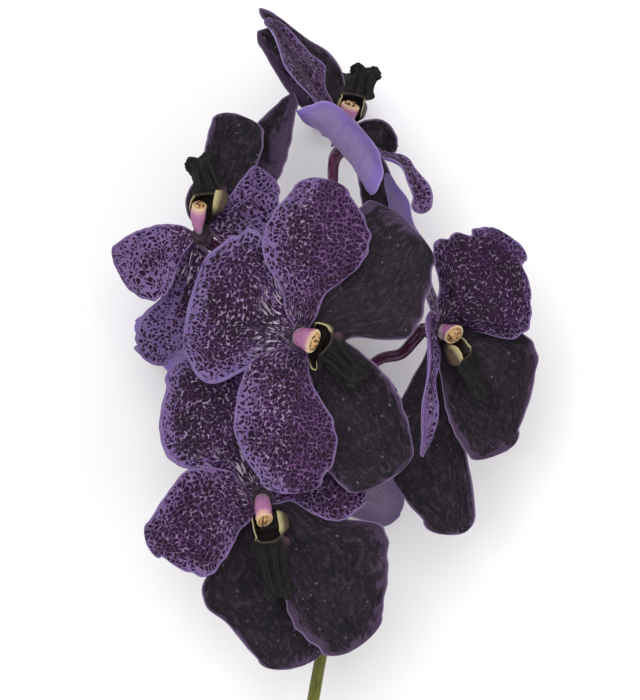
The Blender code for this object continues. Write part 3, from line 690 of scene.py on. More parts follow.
def blade_relief(piece, s, t, seed):
    """How far veins, creases and soft swellings lift the surface of a blade, in mm."""
    fade = ease(s / 0.15) * (1.0 - ease((s - 0.85) / 0.15))
    lift = VEIN_HEIGHT * np.cos(2.0 * math.pi * VEINS_A_SIDE * t) * fade
    lift = lift - MIDRIB_DEPTH * bump(t, 0.0, MIDRIB_SHARE) * fade
    random = np.random.default_rng(seed + 900)
    for _ in range(SWELLS):
        along = random.uniform(*SWELLS_ALONG)
        over = random.uniform(*SWELLS_ACROSS)
        start = random.uniform(0.0, 2.0 * math.pi)
        lift = lift + SWELL_HEIGHT * np.sin(2 * math.pi * (along * s + over * t) + start) * fade
    if piece.startswith("lateral"):
        lift = lift - creases(s, t)
    return lift


def blade_surface(bloom, piece):
    """The mid surface of a petal or sepal, with what the markings need at each point: its place
    in mm with the distance to the margin, the fan of its veins with the share of the length, and
    its mood, which on a dark sepal also holds the painted shade of its creases."""
    flower = FLOWERS[bloom]
    tepal = TEPALS[bloom, piece]
    seed = piece_seed(bloom, piece)
    level = PETAL_LEVEL if piece.startswith("petal") else SEPAL_LEVEL
    s = blade_rows()
    midrib, across, up = blade_frame(flower, tepal, level, s)
    length = np.linalg.norm(np.diff(midrib, axis=0), axis=1).sum()
    left = half_width(tepal.left, s, tepal.pointed)
    right = half_width(tepal.right, s, tepal.pointed)
    wavy = ease(s / CLAW_TURN)
    left = left * (1.0 + MARGIN_WOBBLE * uneven(s, seed, 2.0, 9.0) * wavy)
    right = right * (1.0 + MARGIN_WOBBLE * uneven(s, seed + 500, 2.0, 9.0) * wavy)
    for side, place, depth, width in NOTCHES.get((bloom, piece), ()):
        cut = depth * bump(s, place, width)
        if side > 0:
            left = np.maximum(left - cut, 0.25 * left)
        else:
            right = np.maximum(right - cut, 0.25 * right)
    s = s[:, None]
    t = crowded(BLADE_COLUMNS, BLADE_CROWDING)[None, :]
    half = np.where(t > 0, left[:, None], right[:, None])
    turns = WAVES_A_BLADE * s + WAVE_LEAD * (t > 0)
    edge_wave = WAVE_HEIGHT * np.abs(t) ** 1.6 * np.sin(2.0 * math.pi * turns)
    lift = tepal.cup * t**2 * np.sin(math.pi * np.minimum(s, 0.98)) ** 0.7
    lift = lift + edge_wave * ease(s / 0.3) + blade_relief(piece, s, t, seed)
    surface = midrib[:, None, :] + across[:, None, :] * (half * t)[..., None]
    surface = surface + up[:, None, :] * lift[..., None]
    surface[..., 2] = np.maximum(surface[..., 2], TABLE_CLEARANCE - flower.middle[2])
    usual = float(np.mean((left + right) / 2.0))
    margin = np.minimum((1.0 - np.abs(t)) * half, (1.0 - s) * length)
    shift = (seed % 97) * 31.0
    flat = np.sqrt(usual * half) * t + shift
    run = np.broadcast_to(s * length + shift, flat.shape)
    blade = np.stack([flat, run, margin], axis=-1)
    whole = np.broadcast_to(s, flat.shape)
    fan = np.stack([usual * t + shift + 0 * s, run, whole], axis=-1)
    first, second, third, side = MOODS.get((bloom, piece), USUAL_MOOD)
    here = ease((side * t + 0.2) / 0.4) if side else 1.0
    second = second * here
    if piece.startswith("lateral"):
        # On a dark sepal the third share of the mood is the painted shade along its creases.
        third = np.minimum(creases(s, t) / CREASE_SHADE_FULL, 1.0)
        first = 0.1 + (first - 0.1) * here
    else:
        third = third * here
    mood = np.stack([first + 0 * flat, second + 0 * flat, third + 0 * flat], axis=-1)
    return surface, blade, fan, mood


def grid_normals(points):
    """The normal at each point of a grid, on the side that looks at someone who sees its rows run
    away from them and its columns run to the left."""
    along = np.gradient(points, axis=0)
    over = np.gradient(points, axis=1)
    return unit(np.cross(along, over))


def rim_loop(rows, columns):
    """The numbers of a grid's border points in order, and of the inner neighbour of each."""
    number = np.arange(rows * columns).reshape(rows, columns)
    border = np.concatenate(
        [number[:-1, 0], number[-1, :-1], number[:0:-1, -1], number[0, :0:-1]]
    )
    inner = number[1:-1, 1:-1]
    row = np.clip(border // columns, 1, rows - 2)
    column = np.clip(border % columns, 1, columns - 2)
    return border, inner[row - 1, column - 1]


def add_attribute(mesh, key, values):
    """Stores one number or three for each point of a mesh."""
    values = np.asarray(values, np.float32)
    kind, slot = ("FLOAT", "value") if values.ndim == 1 else ("FLOAT_VECTOR", "vector")
    mesh.attributes.new(key, kind, "POINT").data.foreach_set(slot, values.ravel())


def sheet_mesh(name, surface, thickness, margin, facts):
    """A closed sheet round a mid surface, thinner towards its rim. The front faces and half of
    the rim take the first material, the back faces the second. facts holds point attributes."""
    rows, columns = surface.shape[:2]
    size = rows * columns
    normal = grid_normals(surface)
    share = RIM_SHARE + (1.0 - RIM_SHARE) * ease(margin / RIM_REACH)
    offset = normal * (0.5 * thickness * share)[..., None]
    border, inside = rim_loop(rows, columns)
    flat = surface.reshape(-1, 3)
    outward = unit(flat[border] - flat[inside])
    rim = flat[border] + outward * 0.5 * thickness * RIM_SHARE
    points = np.vstack([(surface + offset).reshape(-1, 3), (surface - offset).reshape(-1, 3), rim])
    number = np.arange(size).reshape(rows, columns)
    front = np.stack(
        [number[:-1, :-1], number[1:, :-1], number[1:, 1:], number[:-1, 1:]], axis=-1
    ).reshape(-1, 4)
    after = np.roll(border, -1)
    on_rim = 2 * size + np.arange(len(border))
    rim_after = np.roll(on_rim, -1)
    upper = np.stack([after, border, on_rim, rim_after], axis=-1)
    lower = np.stack([rim_after, on_rim, border + size, after + size], axis=-1)
    back = front[:, ::-1] + size
    faces = np.vstack([front, upper, lower, back])
    mesh = bpy.data.meshes.new(name)
    mesh.from_pydata(points * MM, [], faces.tolist())
    looks = np.ones(len(faces), np.int32)
    looks[: len(front) + len(upper)] = 0
    mesh.polygons.foreach_set("material_index", looks)
    for key, (on_front, on_back) in facts.items():
        values = np.vstack(
            [on_front.reshape(-1, 3), on_back.reshape(-1, 3), on_front.reshape(-1, 3)[border]]
        )
        add_attribute(mesh, key, values)
    mesh.shade_smooth()
    mesh.update()
    return mesh


def blade_mesh(name, bloom, piece):
    surface, blade, fan, mood = blade_surface(bloom, piece)
    facts = {"blade": (blade, blade), "fan": (fan, fan), "mood": (mood, mood)}
    return sheet_mesh(name, surface, sizes().tepal_thickness / MM, blade[..., 2], facts)


def place_piece(name, mesh, flower, materials, node):
    """Puts a finished mesh, in mm from its flower's middle, at its place, on the body and for the
    plain solid that it belongs to."""
    middle = np.asarray(flower.middle, float) + np.asarray(FLOWERS_FROM_ORIGIN)
    if mesh.validate(verbose=False):
        raise RuntimeError(f"{name} has faulty faces")
    mesh.transform(Matrix.Translation(middle * MM))
    return place_mesh(name, mesh, materials, node)


def place_mesh(name, mesh, materials, node):
    for material in materials:
        mesh.materials.append(material)
    obj = bpy.data.objects.new(name, mesh)
    bpy.context.scene.collection.objects.link(obj)
    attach(obj, "root")
    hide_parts(node)
    return obj


def lip_surface(bloom, piece):
    """The mid surface of a lip, and its colour zones on the front and on the back.

    Two side lobes stand up round a hollow throat, a low rim closes it in front, and beyond it the
    ridged midlobe has two basal corners and a ragged, notched end. A zone holds the shares of
    olive, of mauve and of brown at each point."""
    flower = FLOWERS[bloom]
    seed = piece_seed(bloom, piece)
    facing = unit(flower.facing)
    throat = np.asarray(flower.lip[0], float)
    end = np.asarray(flower.lip[1], float)
    outward = unit(throat - facing * throat.dot(facing))
    root = facing * (HEAD_FRONT + GAP + LIP_SHEET / 2) + outward * LIP_ROOT_RADIUS
    s = np.concatenate(
        [np.linspace(a, b, count, endpoint=b == 1.0) for a, b, count in LIP_ROWS]
    )
    knots = (0.0, THROAT_SHARE, 1.0)
    places = np.vstack([root, throat, end])
    line = smooth_through(knots, places, s)
    tangent = tangent_of(knots, places, s)
    across = unit(np.cross(facing, tangent))
    up = np.cross(tangent, across)
    half = smooth_through(LIP_WIDTH_AT, LIP_HALF_WIDTHS, s)
    ragged = ease((s - 0.62) / 0.2)
    left = half * (1.0 + RAGGED_SHARE * uneven(s, seed, 8.0, 26.0) * ragged)
    right = half * (1.0 + RAGGED_SHARE * uneven(s, seed + 1, 8.0, 26.0) * ragged)
    s = s[:, None]
    t = crowded(LIP_COLUMNS, LIP_CROWDING)[None, :]
    half = np.where(t > 0, left[:, None], right[:, None])
    aside = np.abs(t)
    inward = 1.0 - t**2
    ear = np.exp(-(((s - EAR_AT) / EAR_SPREAD) ** 4))
    wall = np.clip((aside - EAR_FOLD) / (1.0 - EAR_FOLD), 0.0, 1.0)
    on_left, on_right, mauve_side = LIP_SHAPES.get(bloom, USUAL_LIP)
    out, lean, ahead = (np.where(t > 0, a, b) for a, b in zip(on_left, on_right))
    foot = EAR_FOOT_IN_GIRTHS * flower.girth + out
    reach = foot * np.minimum(aside / EAR_FOLD, 1.0) - lean * wall**1.3
    side = half * t * (1.0 - ear) + ear * np.sign(t) * reach
    lift = EAR_HEIGHT * ear * np.clip((aside - 0.45) / 0.55, 0.0, 1.0) ** 1.1
    front = FRONT_RIM_AT + 0.07 * inward
    lift = lift - THROAT_DEPTH * bump(s, EAR_AT + 0.04 * inward, THROAT_SPREAD) * inward
    lift = lift + FRONT_RIM_HEIGHT * bump(s, front, FRONT_RIM_SPREAD)
    lift = lift + CORNER_HEIGHT * bump(s, CORNER_AT, CORNER_SPREAD) * aside**3
    lift = lift - SIDE_DROOP * ease((s - 0.5) / 0.4) * t**2
    on_midlobe = ease((s - 0.38) / 0.1) * (1.0 - ease((s - 0.8) / 0.15))
    lift = lift + RIDGE_HEIGHT * np.cos(2.0 * math.pi * t / RIDGE_SPACING) * on_midlobe
    lift = lift + END_WAVE_HEIGHT * np.sin(18.0 * s + 4.0 * t) * ease((s - 0.7) / 0.2) * aside
    keels = bump(t, 0.0, 0.07) + 0.8 * bump(aside, 0.24, 0.06)
    lift = lift + LIP_KEEL_HEIGHT * keels * ease((s - 0.4) / 0.08) * (1 - ease((s - 0.72) / 0.12))
    frill = np.sin(46.0 * s + 9.0 * t) + np.sin(31.0 * s - 13.0 * t + 1.0)
    lift = lift + FRILL_HEIGHT * frill * ease((s - 0.72) / 0.15) * aside
    notch = END_NOTCH_DEPTH * ease((s - 0.9) / 0.1) * (1.0 - aside) ** 1.5
    notch = notch - ahead * ear * ease(aside / 0.8)
    surface = line[:, None, :] + across[:, None, :] * side[..., None]
    surface = surface + up[:, None, :] * lift[..., None]
    surface = surface - tangent[:, None, :] * notch[..., None]
    margin = (1.0 - aside) * np.maximum(half, 9.0 * ear)
    past_root = ease((s - 0.05) / 0.08)
    lobe = ear * ease((aside - 0.35) / 0.3) * ease(lean / 0.5) * past_root
    edge = bump(margin, 0.0, 0.22) * (1.0 - ease((s - 0.33) / 0.05)) * past_root
    rim = 0.7 * bump(s, front, 0.004) * (1.0 - ease((aside - 0.8) / 0.2))
    mauve = bump(s, CORNER_AT, 0.05) * ease((mauve_side * t - 0.55) / 0.35)
    nothing = np.zeros_like(lobe)
    throat_brown = bump(s, EAR_AT, 0.12) + nothing
    on_front = np.stack([np.maximum(edge, rim), mauve, throat_brown], axis=-1)
    on_back = np.stack([np.clip(1.5 * lobe, 0.0, 1.0), mauve, nothing], axis=-1)
    place = np.stack([half * t, s * np.linalg.norm(end - root) + nothing, margin], axis=-1)
    return surface, margin, on_front, on_back, place


def lip_mesh(name, bloom, piece):
    surface, margin, on_front, on_back, place = lip_surface(bloom, piece)
    facts = {"zone": (on_front, on_back), "blade": (place, place)}
    return sheet_mesh(name, surface, sizes().lip_thickness / MM, margin, facts)


def column_line(flower, u):
    """The column's middle line, which rises from the head's face and bends over to its tip."""
    facing = unit(flower.facing)
    base = facing * (HEAD_FRONT + GAP)
    tip = np.asarray(flower.column, float) + facing * HEAD_FRONT
    knee = base + facing * COLUMN_KNEE
    u = u[:, None]
    line = base * (1 - u) ** 2 + 2 * knee * u * (1 - u) + tip * u**2
    return line, unit(2 * (knee - base) * (1 - u) + 2 * (tip - knee) * u)


def column_mesh(name, bloom, _):
    """The column: a stout body with a hollow below its tip, a pale collar, and the anther cap, a
    low dome in two halves. zone holds the place along it, the share of cap and of collar."""
    flower = FLOWERS[bloom]
    radius = flower.girth * sizes().column_scale
    throat = np.asarray(flower.lip[0], float)
    u = np.linspace(0.0, COLUMN_BODY, COLUMN_RINGS)
    line, tangent = column_line(flower, u)
    down = unit(throat - tangent * (tangent @ throat)[:, None])
    side = np.cross(tangent, down)
    angle = np.linspace(0.0, 2.0 * math.pi, COLUMN_SIDES, endpoint=False)
    swell = smooth_through(COLUMN_PROFILE_AT, COLUMN_PROFILE, u / COLUMN_BODY)
    from_lip = np.minimum(angle, 2.0 * math.pi - angle)
    foot, tip, flatness, longer, slant = COLUMN_SHAPES.get(bloom, USUAL_COLUMN)
    line = line + tangent * longer * (ease(u / COLUMN_BODY) ** 2)[:, None]
    cheeks = bump(np.cos(angle), 0.25, 0.75)
    rings = []
    zones = []
    for i, place in enumerate(u / COLUMN_BODY):
        hollow = HOLLOW_SHARE * bump(from_lip, 0.0, 0.5) * bump(place, 0.72, 0.18)
        ridge = 0.05 * np.cos(2.0 * angle) + 0.02 * np.cos(9.0 * angle)
        reach = radius * swell[i] * (1.0 - ridge - hollow)
        reach = reach * (foot + (1.0 - foot) * ease(place / 0.8))
        flat = flatness * ease(place)
        wide = 1.0 + (tip - 1.0) * ease((place - 0.55) / 0.45)
        spread = down[i] * ((1.0 - flat) * np.cos(angle) - 0.6 * flat)[:, None]
        spread = spread + side[i] * (wide * np.sin(angle))[:, None]
        back = slant * ease(place) ** 2 * spread[:, 2]
        rings.append(line[i] + (spread - tangent[i] * back[:, None]) * reach[:, None])
        pale = place * (1.0 - 0.9 * cheeks * (1.0 - ease((place - 0.5) / 0.3)))
        collar = np.full(COLUMN_SIDES, 0.5 * bump(place, 1.0, 0.03))
        zones.append(np.stack([pale, 0.0 * pale, collar], axis=-1))
    last = radius * swell[-1]
    for advance, share, cap, collar in COLUMN_END:
        reach = last * share * (1.0 + 0.05 * cap * np.cos(2.0 * angle))
        furrow = FURROW_DEPTH * cap * bump(reach * np.sin(angle), 0.0, 0.45)
        spread = down[-1] * ((1.0 - flatness) * np.cos(angle) - 0.6 * flatness / share)[:, None]
        spread = spread + side[-1] * (tip * np.sin(angle))[:, None]
        ahead = advance * radius / 2.5 - furrow - slant * reach * spread[:, 2]
        ring = line[-1] + spread * reach[:, None] + tangent[-1] * ahead[:, None]
        rings.append(ring)
        zones.append(np.tile((1.0, cap, collar), (COLUMN_SIDES, 1)))
    return tube_mesh(name, np.array(rings), np.array(zones))


def tube_mesh(name, rings, zones):
    """A closed tube from rings of points, with one face over each end."""
    count, sides = rings.shape[:2]
    number = np.arange(count * sides).reshape(count, sides)
    after = np.roll(number, -1, axis=1)
    walls = np.stack([number[:-1], after[:-1], after[1:], number[1:]], axis=-1).reshape(-1, 4)
    faces = walls.tolist() + [number[0, ::-1].tolist(), number[-1].tolist()]
    mesh = bpy.data.meshes.new(name)
    mesh.from_pydata(rings.reshape(-1, 3) * MM, [], faces)
    add_attribute(mesh, "zone", zones.reshape(-1, 3))
    mesh.shade_smooth()
    mesh.update()
    return mesh


def stem_line(s):
    return smooth_through(np.linspace(0.0, 1.0, len(STEM_PATH)), STEM_PATH, s)


def stem_radius(s):
    return STEM_RADIUS_CUT + (STEM_RADIUS_TIP - STEM_RADIUS_CUT) * np.asarray(s)


def nearest_on_stem(point):
    s = np.linspace(0.0, 1.0, 2001)
    line = stem_line(s)
    return s[np.argmin(np.linalg.norm(line - np.asarray(point, float), axis=1))]


def pedicel_foot(flower):
    """Where a pedicel leaves the stem: the share along the stem, the place on the stem's middle
    line, and the directions away from it and along it."""
    s = nearest_on_stem(flower.pedicel[0])
    foot = stem_line(np.array([s]))[0]
    along = tangent_of(np.linspace(0.0, 1.0, len(STEM_PATH)), STEM_PATH, np.array([s]))[0]
    away = np.asarray(flower.pedicel[1], float) - foot
    away = unit(away - along * away.dot(along))
    return s, foot, away, along


def pedicel_line(flower):
    """A pedicel's middle line and radii, from the stem's skin to the front of the flower's head,
    in mm from the flower's middle."""
    s, foot, away, _ = pedicel_foot(flower)
    facing = unit(flower.facing)
    start = foot + away * (float(stem_radius(s)) + STEM_RIB_DEPTH + GAP)
    bends = np.vstack([start, start + away * 2.5, np.asarray(flower.pedicel[1:], float)])
    places = np.vstack([bends - np.asarray(flower.middle, float), facing * (HEAD_BACK - 3.0)])
    run = np.concatenate([[0.0], np.cumsum(np.linalg.norm(np.diff(places, axis=0), axis=1))])
    share = np.linspace(0.0, 1.0, PEDICEL_RINGS)
    body = smooth_through(run / run[-1], places, share)
    head_at = np.linspace(HEAD_BACK - FLARE_LENGTH, HEAD_FRONT, HEAD_RINGS)
    head = facing * head_at[:, None]
    wide = HEAD_RADIUS - 0.1
    thin = PEDICEL_RADIUS + 0.5
    flare = thin + (wide - thin) * ease((head_at - HEAD_BACK + FLARE_LENGTH) / FLARE_LENGTH)
    flare[-1] = wide - 0.35
    radii = np.concatenate([PEDICEL_RADIUS + 0.5 * share**2, flare])
    radii[0] = 0.9 * PEDICEL_RADIUS
    return np.vstack([body, head]), radii


def sweep_tree(name):
    """Geometry Nodes that sweep a ribbed round section along a line of edges, and set a leaflet on
    each loose point. Inputs: the count of sides and of ribs, the ribs' depth as a share of the
    radius, the leaflet and the material."""
    tree = bpy.data.node_groups.new(name, "GeometryNodeTree")
    node = partial(add_node, tree)
    for key, kind in (
        ("Geometry", "Geometry"),
        ("Sides", "Int"),
        ("Ribs", "Int"),
        ("Rib Depth", "Float"),
        ("Leaflet", "Object"),
        ("Material", "Material"),
    ):
        tree.interface.new_socket(key, in_out="INPUT", socket_type=f"NodeSocket{kind}")
    tree.interface.new_socket("Geometry", in_out="OUTPUT", socket_type="NodeSocketGeometry")
    given = tree.nodes.new("NodeGroupInput").outputs
    on_line, thickness, turn = (
        node("GeometryNodeInputNamedAttribute", {"Name": key}, "Attribute", data_type=kind)
        for key, kind in (("on_line", "FLOAT"), ("thickness", "FLOAT"), ("turn", "FLOAT_VECTOR"))
    )
    inputs = {"Geometry": given["Geometry"], "Selection": on_line}
    parts = node("GeometryNodeSeparateGeometry", inputs, None, domain="POINT")
    line = node("GeometryNodeMeshToCurve", {"Mesh": parts.outputs["Selection"]})
    spline = node("GeometryNodeSplineParameter", output=None)
    stored = {"data_type": "FLOAT", "domain": "POINT"}
    for key, value in (("share", "Factor"), ("run", "Length")):
        inputs = {"Geometry": line, "Name": key, "Value": spline.outputs[value]}
        line = node("GeometryNodeStoreNamedAttribute", inputs, **stored)
    inputs = {"Resolution": given["Sides"], "Radius": 1.0}
    circle = node("GeometryNodeCurvePrimitiveCircle", inputs)
    place = node("GeometryNodeInputPosition")
    axes = node(SPLIT, (place,), None)
    angle = node(MATH, (axes.outputs[1], axes.outputs[0]), operation="ARCTAN2")
    inputs = {"Geometry": circle, "Name": "around", "Value": angle}
    circle = node("GeometryNodeStoreNamedAttribute", inputs, **stored)
    turns = node(MATH, (angle, given["Ribs"]), operation="MULTIPLY")
    wave = node(MATH, (turns,), operation="COSINE")
    depth = node(MATH, (wave, given["Rib Depth"]), operation="MULTIPLY")
    shift = node(VECTORS, {0: place, "Scale": depth}, operation="SCALE")
    circle = node("GeometryNodeSetPosition", {"Geometry": circle, "Offset": shift})
    inputs = {"Curve": line, "Profile Curve": circle, "Scale": thickness, "Fill Caps": True}
    tube = node("GeometryNodeCurveToMesh", inputs)
    inputs = {"Object": given["Leaflet"], "As Instance": True}
    leaflet = node("GeometryNodeObjectInfo", inputs, "Geometry")
    turn = node("FunctionNodeEulerToRotation", {"Euler": turn})
    inputs = {"Points": parts.outputs["Inverted"], "Instance": leaflet}
    inputs |= {"Rotation": turn, "Scale": thickness}
    copies = node("GeometryNodeInstanceOnPoints", inputs)
    both = node("GeometryNodeJoinGeometry", output=None)
    tree.links.new(copies, both.inputs[0])
    tree.links.new(tube, both.inputs[0])
    smooth = node("GeometryNodeSetShadeSmooth", {"Geometry": both.outputs[0]})
    real = node("GeometryNodeRealizeInstances", {"Geometry": smooth})
    dressed = node("GeometryNodeSetMaterial", {"Geometry": real, "Material": given["Material"]})
    node("NodeGroupOutput", {"Geometry": dressed}, None)
    return tree


def swept_mesh(name, tree, line, radii, material, settings, leaflet=None, spots=()):
    """Runs the sweep tree on a line of edges, in mm, and gives the plain mesh. spots holds the
    place, turn and size of each leaflet."""
    points = list(np.asarray(line) * MM) + [place * MM for place, _, _ in spots]
    edges = [(i, i + 1) for i in range(len(line) - 1)]
    guide = bpy.data.meshes.new(name)
    guide.from_pydata([tuple(point) for point in points], edges, [])
    add_attribute(guide, "on_line", [1.0] * len(line) + [0.0] * len(spots))
    wide = list(np.asarray(radii) * MM) + [size for _, _, size in spots]
    add_attribute(guide, "thickness", wide)
    add_attribute(guide, "turn", [(0.0, 0.0, 0.0)] * len(line) + [turn for _, turn, _ in spots])
    obj = bpy.data.objects.new(name, guide)
    bpy.context.scene.collection.objects.link(obj)
    modifier = obj.modifiers.new("Sweep", "NODES")
    modifier.node_group = tree
    given = dict(settings, Material=material, Leaflet=leaflet)
    for item in tree.interface.items_tree:
        if item.in_out == "INPUT" and item.name in given:
            modifier[item.identifier] = given[item.name]
    graph = bpy.context.evaluated_depsgraph_get()
    mesh = bpy.data.meshes.new_from_object(obj.evaluated_get(graph))
    bpy.data.objects.remove(obj)
    bpy.data.meshes.remove(guide)
    mesh.materials.clear()
    mesh.name = name
    return mesh


def linear(code):
    """Turns an sRGB hex value to linear red, green and blue."""
    parts = [int(code[i : i + 2], 16) / 255 for i in (1, 3, 5)]
    return tuple(p / 12.92 if p <= 0.04045 else ((p + 0.055) / 1.055) ** 2.4 for p in parts)


def shades(**given):
    """Named colours, from hex values or from colours that are linear already."""
    return {k: linear(v) if isinstance(v, str) else tuple(v) for k, v in given.items()}


def add_node(tree, kind, inputs=(), output=0, **settings):
    """Adds a node with its settings, and its inputs, in order or by name, as links, numbers or
    colours. Gives one of its outputs, or the node itself where output is None."""
    node = tree.nodes.new(kind)
    for key, value in settings.items():
        setattr(node, key, value)
    for key, value in inputs.items() if isinstance(inputs, dict) else enumerate(inputs):
        socket = node.inputs[key]
        if isinstance(value, bpy.types.NodeSocket):
            tree.links.new(value, socket)
        elif socket.type == "RGBA":
            socket.default_value = (*value[:3], 1.0)
        else:
            socket.default_value = value
    return node if output is None else node.outputs[output]


def new_material(name, roughness, ior, specular):
    """A material with only its shader, and the function that adds nodes to its tree."""
    material = bpy.data.materials.new(name)
    material.use_nodes = True
    shader = material.node_tree.nodes["Principled BSDF"]
    for key, value in (("Roughness", roughness), ("IOR", ior), ("Specular IOR Level", specular)):
        shader.inputs[key].default_value = value
    return material, partial(add_node, material.node_tree)


def dress(material, ground, layers, height, strength, depth):
    """Lays tones over a ground colour in order, each as far as its share says, and raises a fine
    relief from a height that stands for this many mm."""
    tree = material.node_tree
    shader = tree.nodes["Principled BSDF"]
    for share, tone in layers:
        ground = add_node(tree, MIX, {0: share, 6: ground, 7: tone}, 2, data_type="RGBA")
    relief = {"Height": height, "Strength": strength, "Distance": depth * MM}
    tree.links.new(ground, shader.inputs["Base Color"])
    tree.links.new(add_node(tree, "ShaderNodeBump", relief), shader.inputs["Normal"])
    return material


def blade_coordinates(node):
    """The attributes that the blades carry: the place in mm with the distance to the margin, the
    fan of the veins with the share of the length, and the mood of the whole blade."""
    blade, fan, mood = (
        node("ShaderNodeAttribute", output="Vector", attribute_name=key)
        for key in ("blade", "fan", "mood")
    )
    return blade, fan, node(SPLIT, (blade,), 2), node(SPLIT, (fan,), 2), node(SPLIT, (mood,), None)


def spotted_tissue(name, colours, look):
    """Fresh orchid petal: waxy cells filled with violet and dotted with dark purple. The wax gives
    a soft, low gloss. The dots are small and apart at the margin, and grow towards the middle
    until only pale flecks are left between them, with long pale streaks near the root."""
    material, node = new_material(name, roughness=0.55, ior=1.42, specular=0.08)
    blade, fan, margin, share, mood = blade_coordinates(node)
    # The spots sit on a net of cells that drifts off its even rows over about 2.5 mm.
    warp = node(NOISE, {"Vector": blade, "Scale": 0.4, "Detail": 0.0}, 1)
    drift = (SPOT_DRIFT, SPOT_DRIFT, 0.0)
    warped = node(VECTORS, (warp, drift, blade), operation="MULTIPLY_ADD")
    spacing = (1 / SPOT_ACROSS, 1 / SPOT_ALONG, 0.0)
    cells_at = node(VECTORS, (warped, spacing), operation="MULTIPLY")
    cells_in = {"Vector": cells_at, "Scale": 1.0, "Randomness": 0.8}
    cells = node(CELLS, cells_in, None, voronoi_dimensions="2D")
    border = node(CELLS, cells_in, voronoi_dimensions="2D", feature="DISTANCE_TO_EDGE")
    own = node("ShaderNodeSeparateColor", (cells.outputs["Color"],))
    # Patches 11 mm wide, clouds of 4.5 mm and flicker of 1.3 mm; streaks 1 mm wide and 5 mm long.
    patches = node(NOISE, {"Vector": blade, "Scale": 0.09, "Detail": 3.0})
    flicker = node(NOISE, {"Vector": blade, "Scale": 0.75, "Detail": 2.0})
    clouds = node(NOISE, {"Vector": blade, "Scale": 0.22, "Detail": 3.0})
    streaks_at = node(VECTORS, (fan, (1.05, 0.2, 0.0)), operation="MULTIPLY")
    streaks = node(NOISE, {"Vector": streaks_at, "Scale": 1.0, "Detail": 1.0})
    depth = node(MATH, (patches, PATCH_REACH, margin), operation="MULTIPLY_ADD")
    depth = node(MATH, (mood.outputs[1], MOOD_REACH, depth), operation="MULTIPLY_ADD")
    starts, full = look["band"]
    ramps = {
        "inner": (depth, PATCH_REACH / 2 + starts, PATCH_REACH / 2 + full, 0.0, 1.0),
        "near_root": (share, look["root"], 0.12, 0.0, 1.0),
        "bare_rim": (margin, look["rim"], look["rim"] + 0.6, 0.0, 1.0),
        "bright": (flicker, *look["bright"], 0.0, 1.0),
        "own_size": (own, 0.0, 1.0, -0.11, 0.11),
        "streak": (streaks, 0.58, 0.63, 0.0, 1.0),
        "streak_reach": (share, look["streaks"], 0.5 * look["streaks"], 0.0, 1.0),
        "bare_root": (share, 0.05, 0.1, 0.0, 1.0),
        "warm": (patches, 0.4, 0.62, 0.0, 1.0),
        "hazy": (patches, 0.6, 0.42, 0.0, 1.0),
        "shade": (clouds, 0.45, 0.65, 0.0, look["shade"]),
        "edge": (margin, 0.5, 0.1, 0.0, 0.7),
        "claw": (share, 0.03, 0.005, 0.0, 0.9),
    }
    mask = {key: node(RAMP, ramp, **SOFT) for key, ramp in ramps.items()}
    # A spot reaches as far as its cell's distance allows, and the net parts it from the next.
    grown = node(MATH, (mask["inner"], mask["near_root"]), operation="MAXIMUM")
    reach = node(RAMP, (grown, 0.0, 1.0, look["small"], look["large"]))
    reach = node(MATH, (reach, mask["own_size"]), operation="ADD")
    reach = node(MATH, (reach, mood.outputs[2]), operation="SUBTRACT")
    inside = node(MATH, (reach, cells.outputs["Distance"]), operation="SUBTRACT")
    round_spot = node(RAMP, (inside, -0.1, 0.12))
    halo = node(RAMP, (inside, -0.34, -0.1, 0.0, 0.6))
    deep = node(RAMP, (mood.outputs[1], 0.0, 1.0, 1.0, 0.35))
    bright = node(MATH, (mask["bright"], deep), operation="MULTIPLY")
    thin, wider = look["net"]
    net = node(MATH, (bright, wider, thin), operation="MULTIPLY_ADD")
    apart = node(MATH, (border, net), operation="SUBTRACT")
    apart = node(RAMP, (apart, -0.09, 0.09))
    spot = node(MATH, (round_spot, apart), operation="MULTIPLY")
    spot = node(MATH, (spot, mask["bare_rim"]), operation="MULTIPLY")
    streak = node(MATH, (mask["streak"], mask["streak_reach"]), operation="MULTIPLY")
    streak = node(MATH, (streak, mask["bare_root"]), operation="MULTIPLY")
    gloom = node(RAMP, (mood.outputs[2], -0.1, -0.3, 0.0, 0.65))
    tones = {}
    for key, share_of, first, second in (
        ("margin", mood.outputs[0], colours["margin"], colours["margin_warm"]),
        ("haze", mask["hazy"], colours["middle"], colours["haze"]),
        ("spot", mask["warm"], colours["spot"], colours["spot_warm"]),
    ):
        tones[key] = node(MIX, {0: share_of, 6: first, 7: second}, 2, data_type="RGBA")
    middle = {0: gloom, 6: tones["haze"], 7: colours["spot_warm"]}
    middle = node(MIX, middle, 2, data_type="RGBA")
    bright = node(MATH, (bright, grown), operation="MULTIPLY")
    shade = node(MATH, (mask["shade"], grown), operation="MULTIPLY")
    layers = (
        (mask["shade"], colours["dim"]),
        (halo, colours["halo"]),
        (grown, middle),
        (bright, colours["pale"]),
        (spot, tones["spot"]),
        (shade, colours["spot_warm"]),
        (streak, colours["streak"]),
        (mask["claw"], colours["claw"]),
        (mask["edge"], colours["rim"]),
    )
    # The skin's cells, 0.3 mm wide, and the spots, which stand a little higher.
    skin = node(NOISE, {"Vector": blade, "Scale": 3.4, "Detail": 2.0})
    height = node(MATH, (skin, 0.35, spot), operation="MULTIPLY_ADD")
    return dress(material, tones["margin"], layers, height, strength=0.4, depth=0.1)


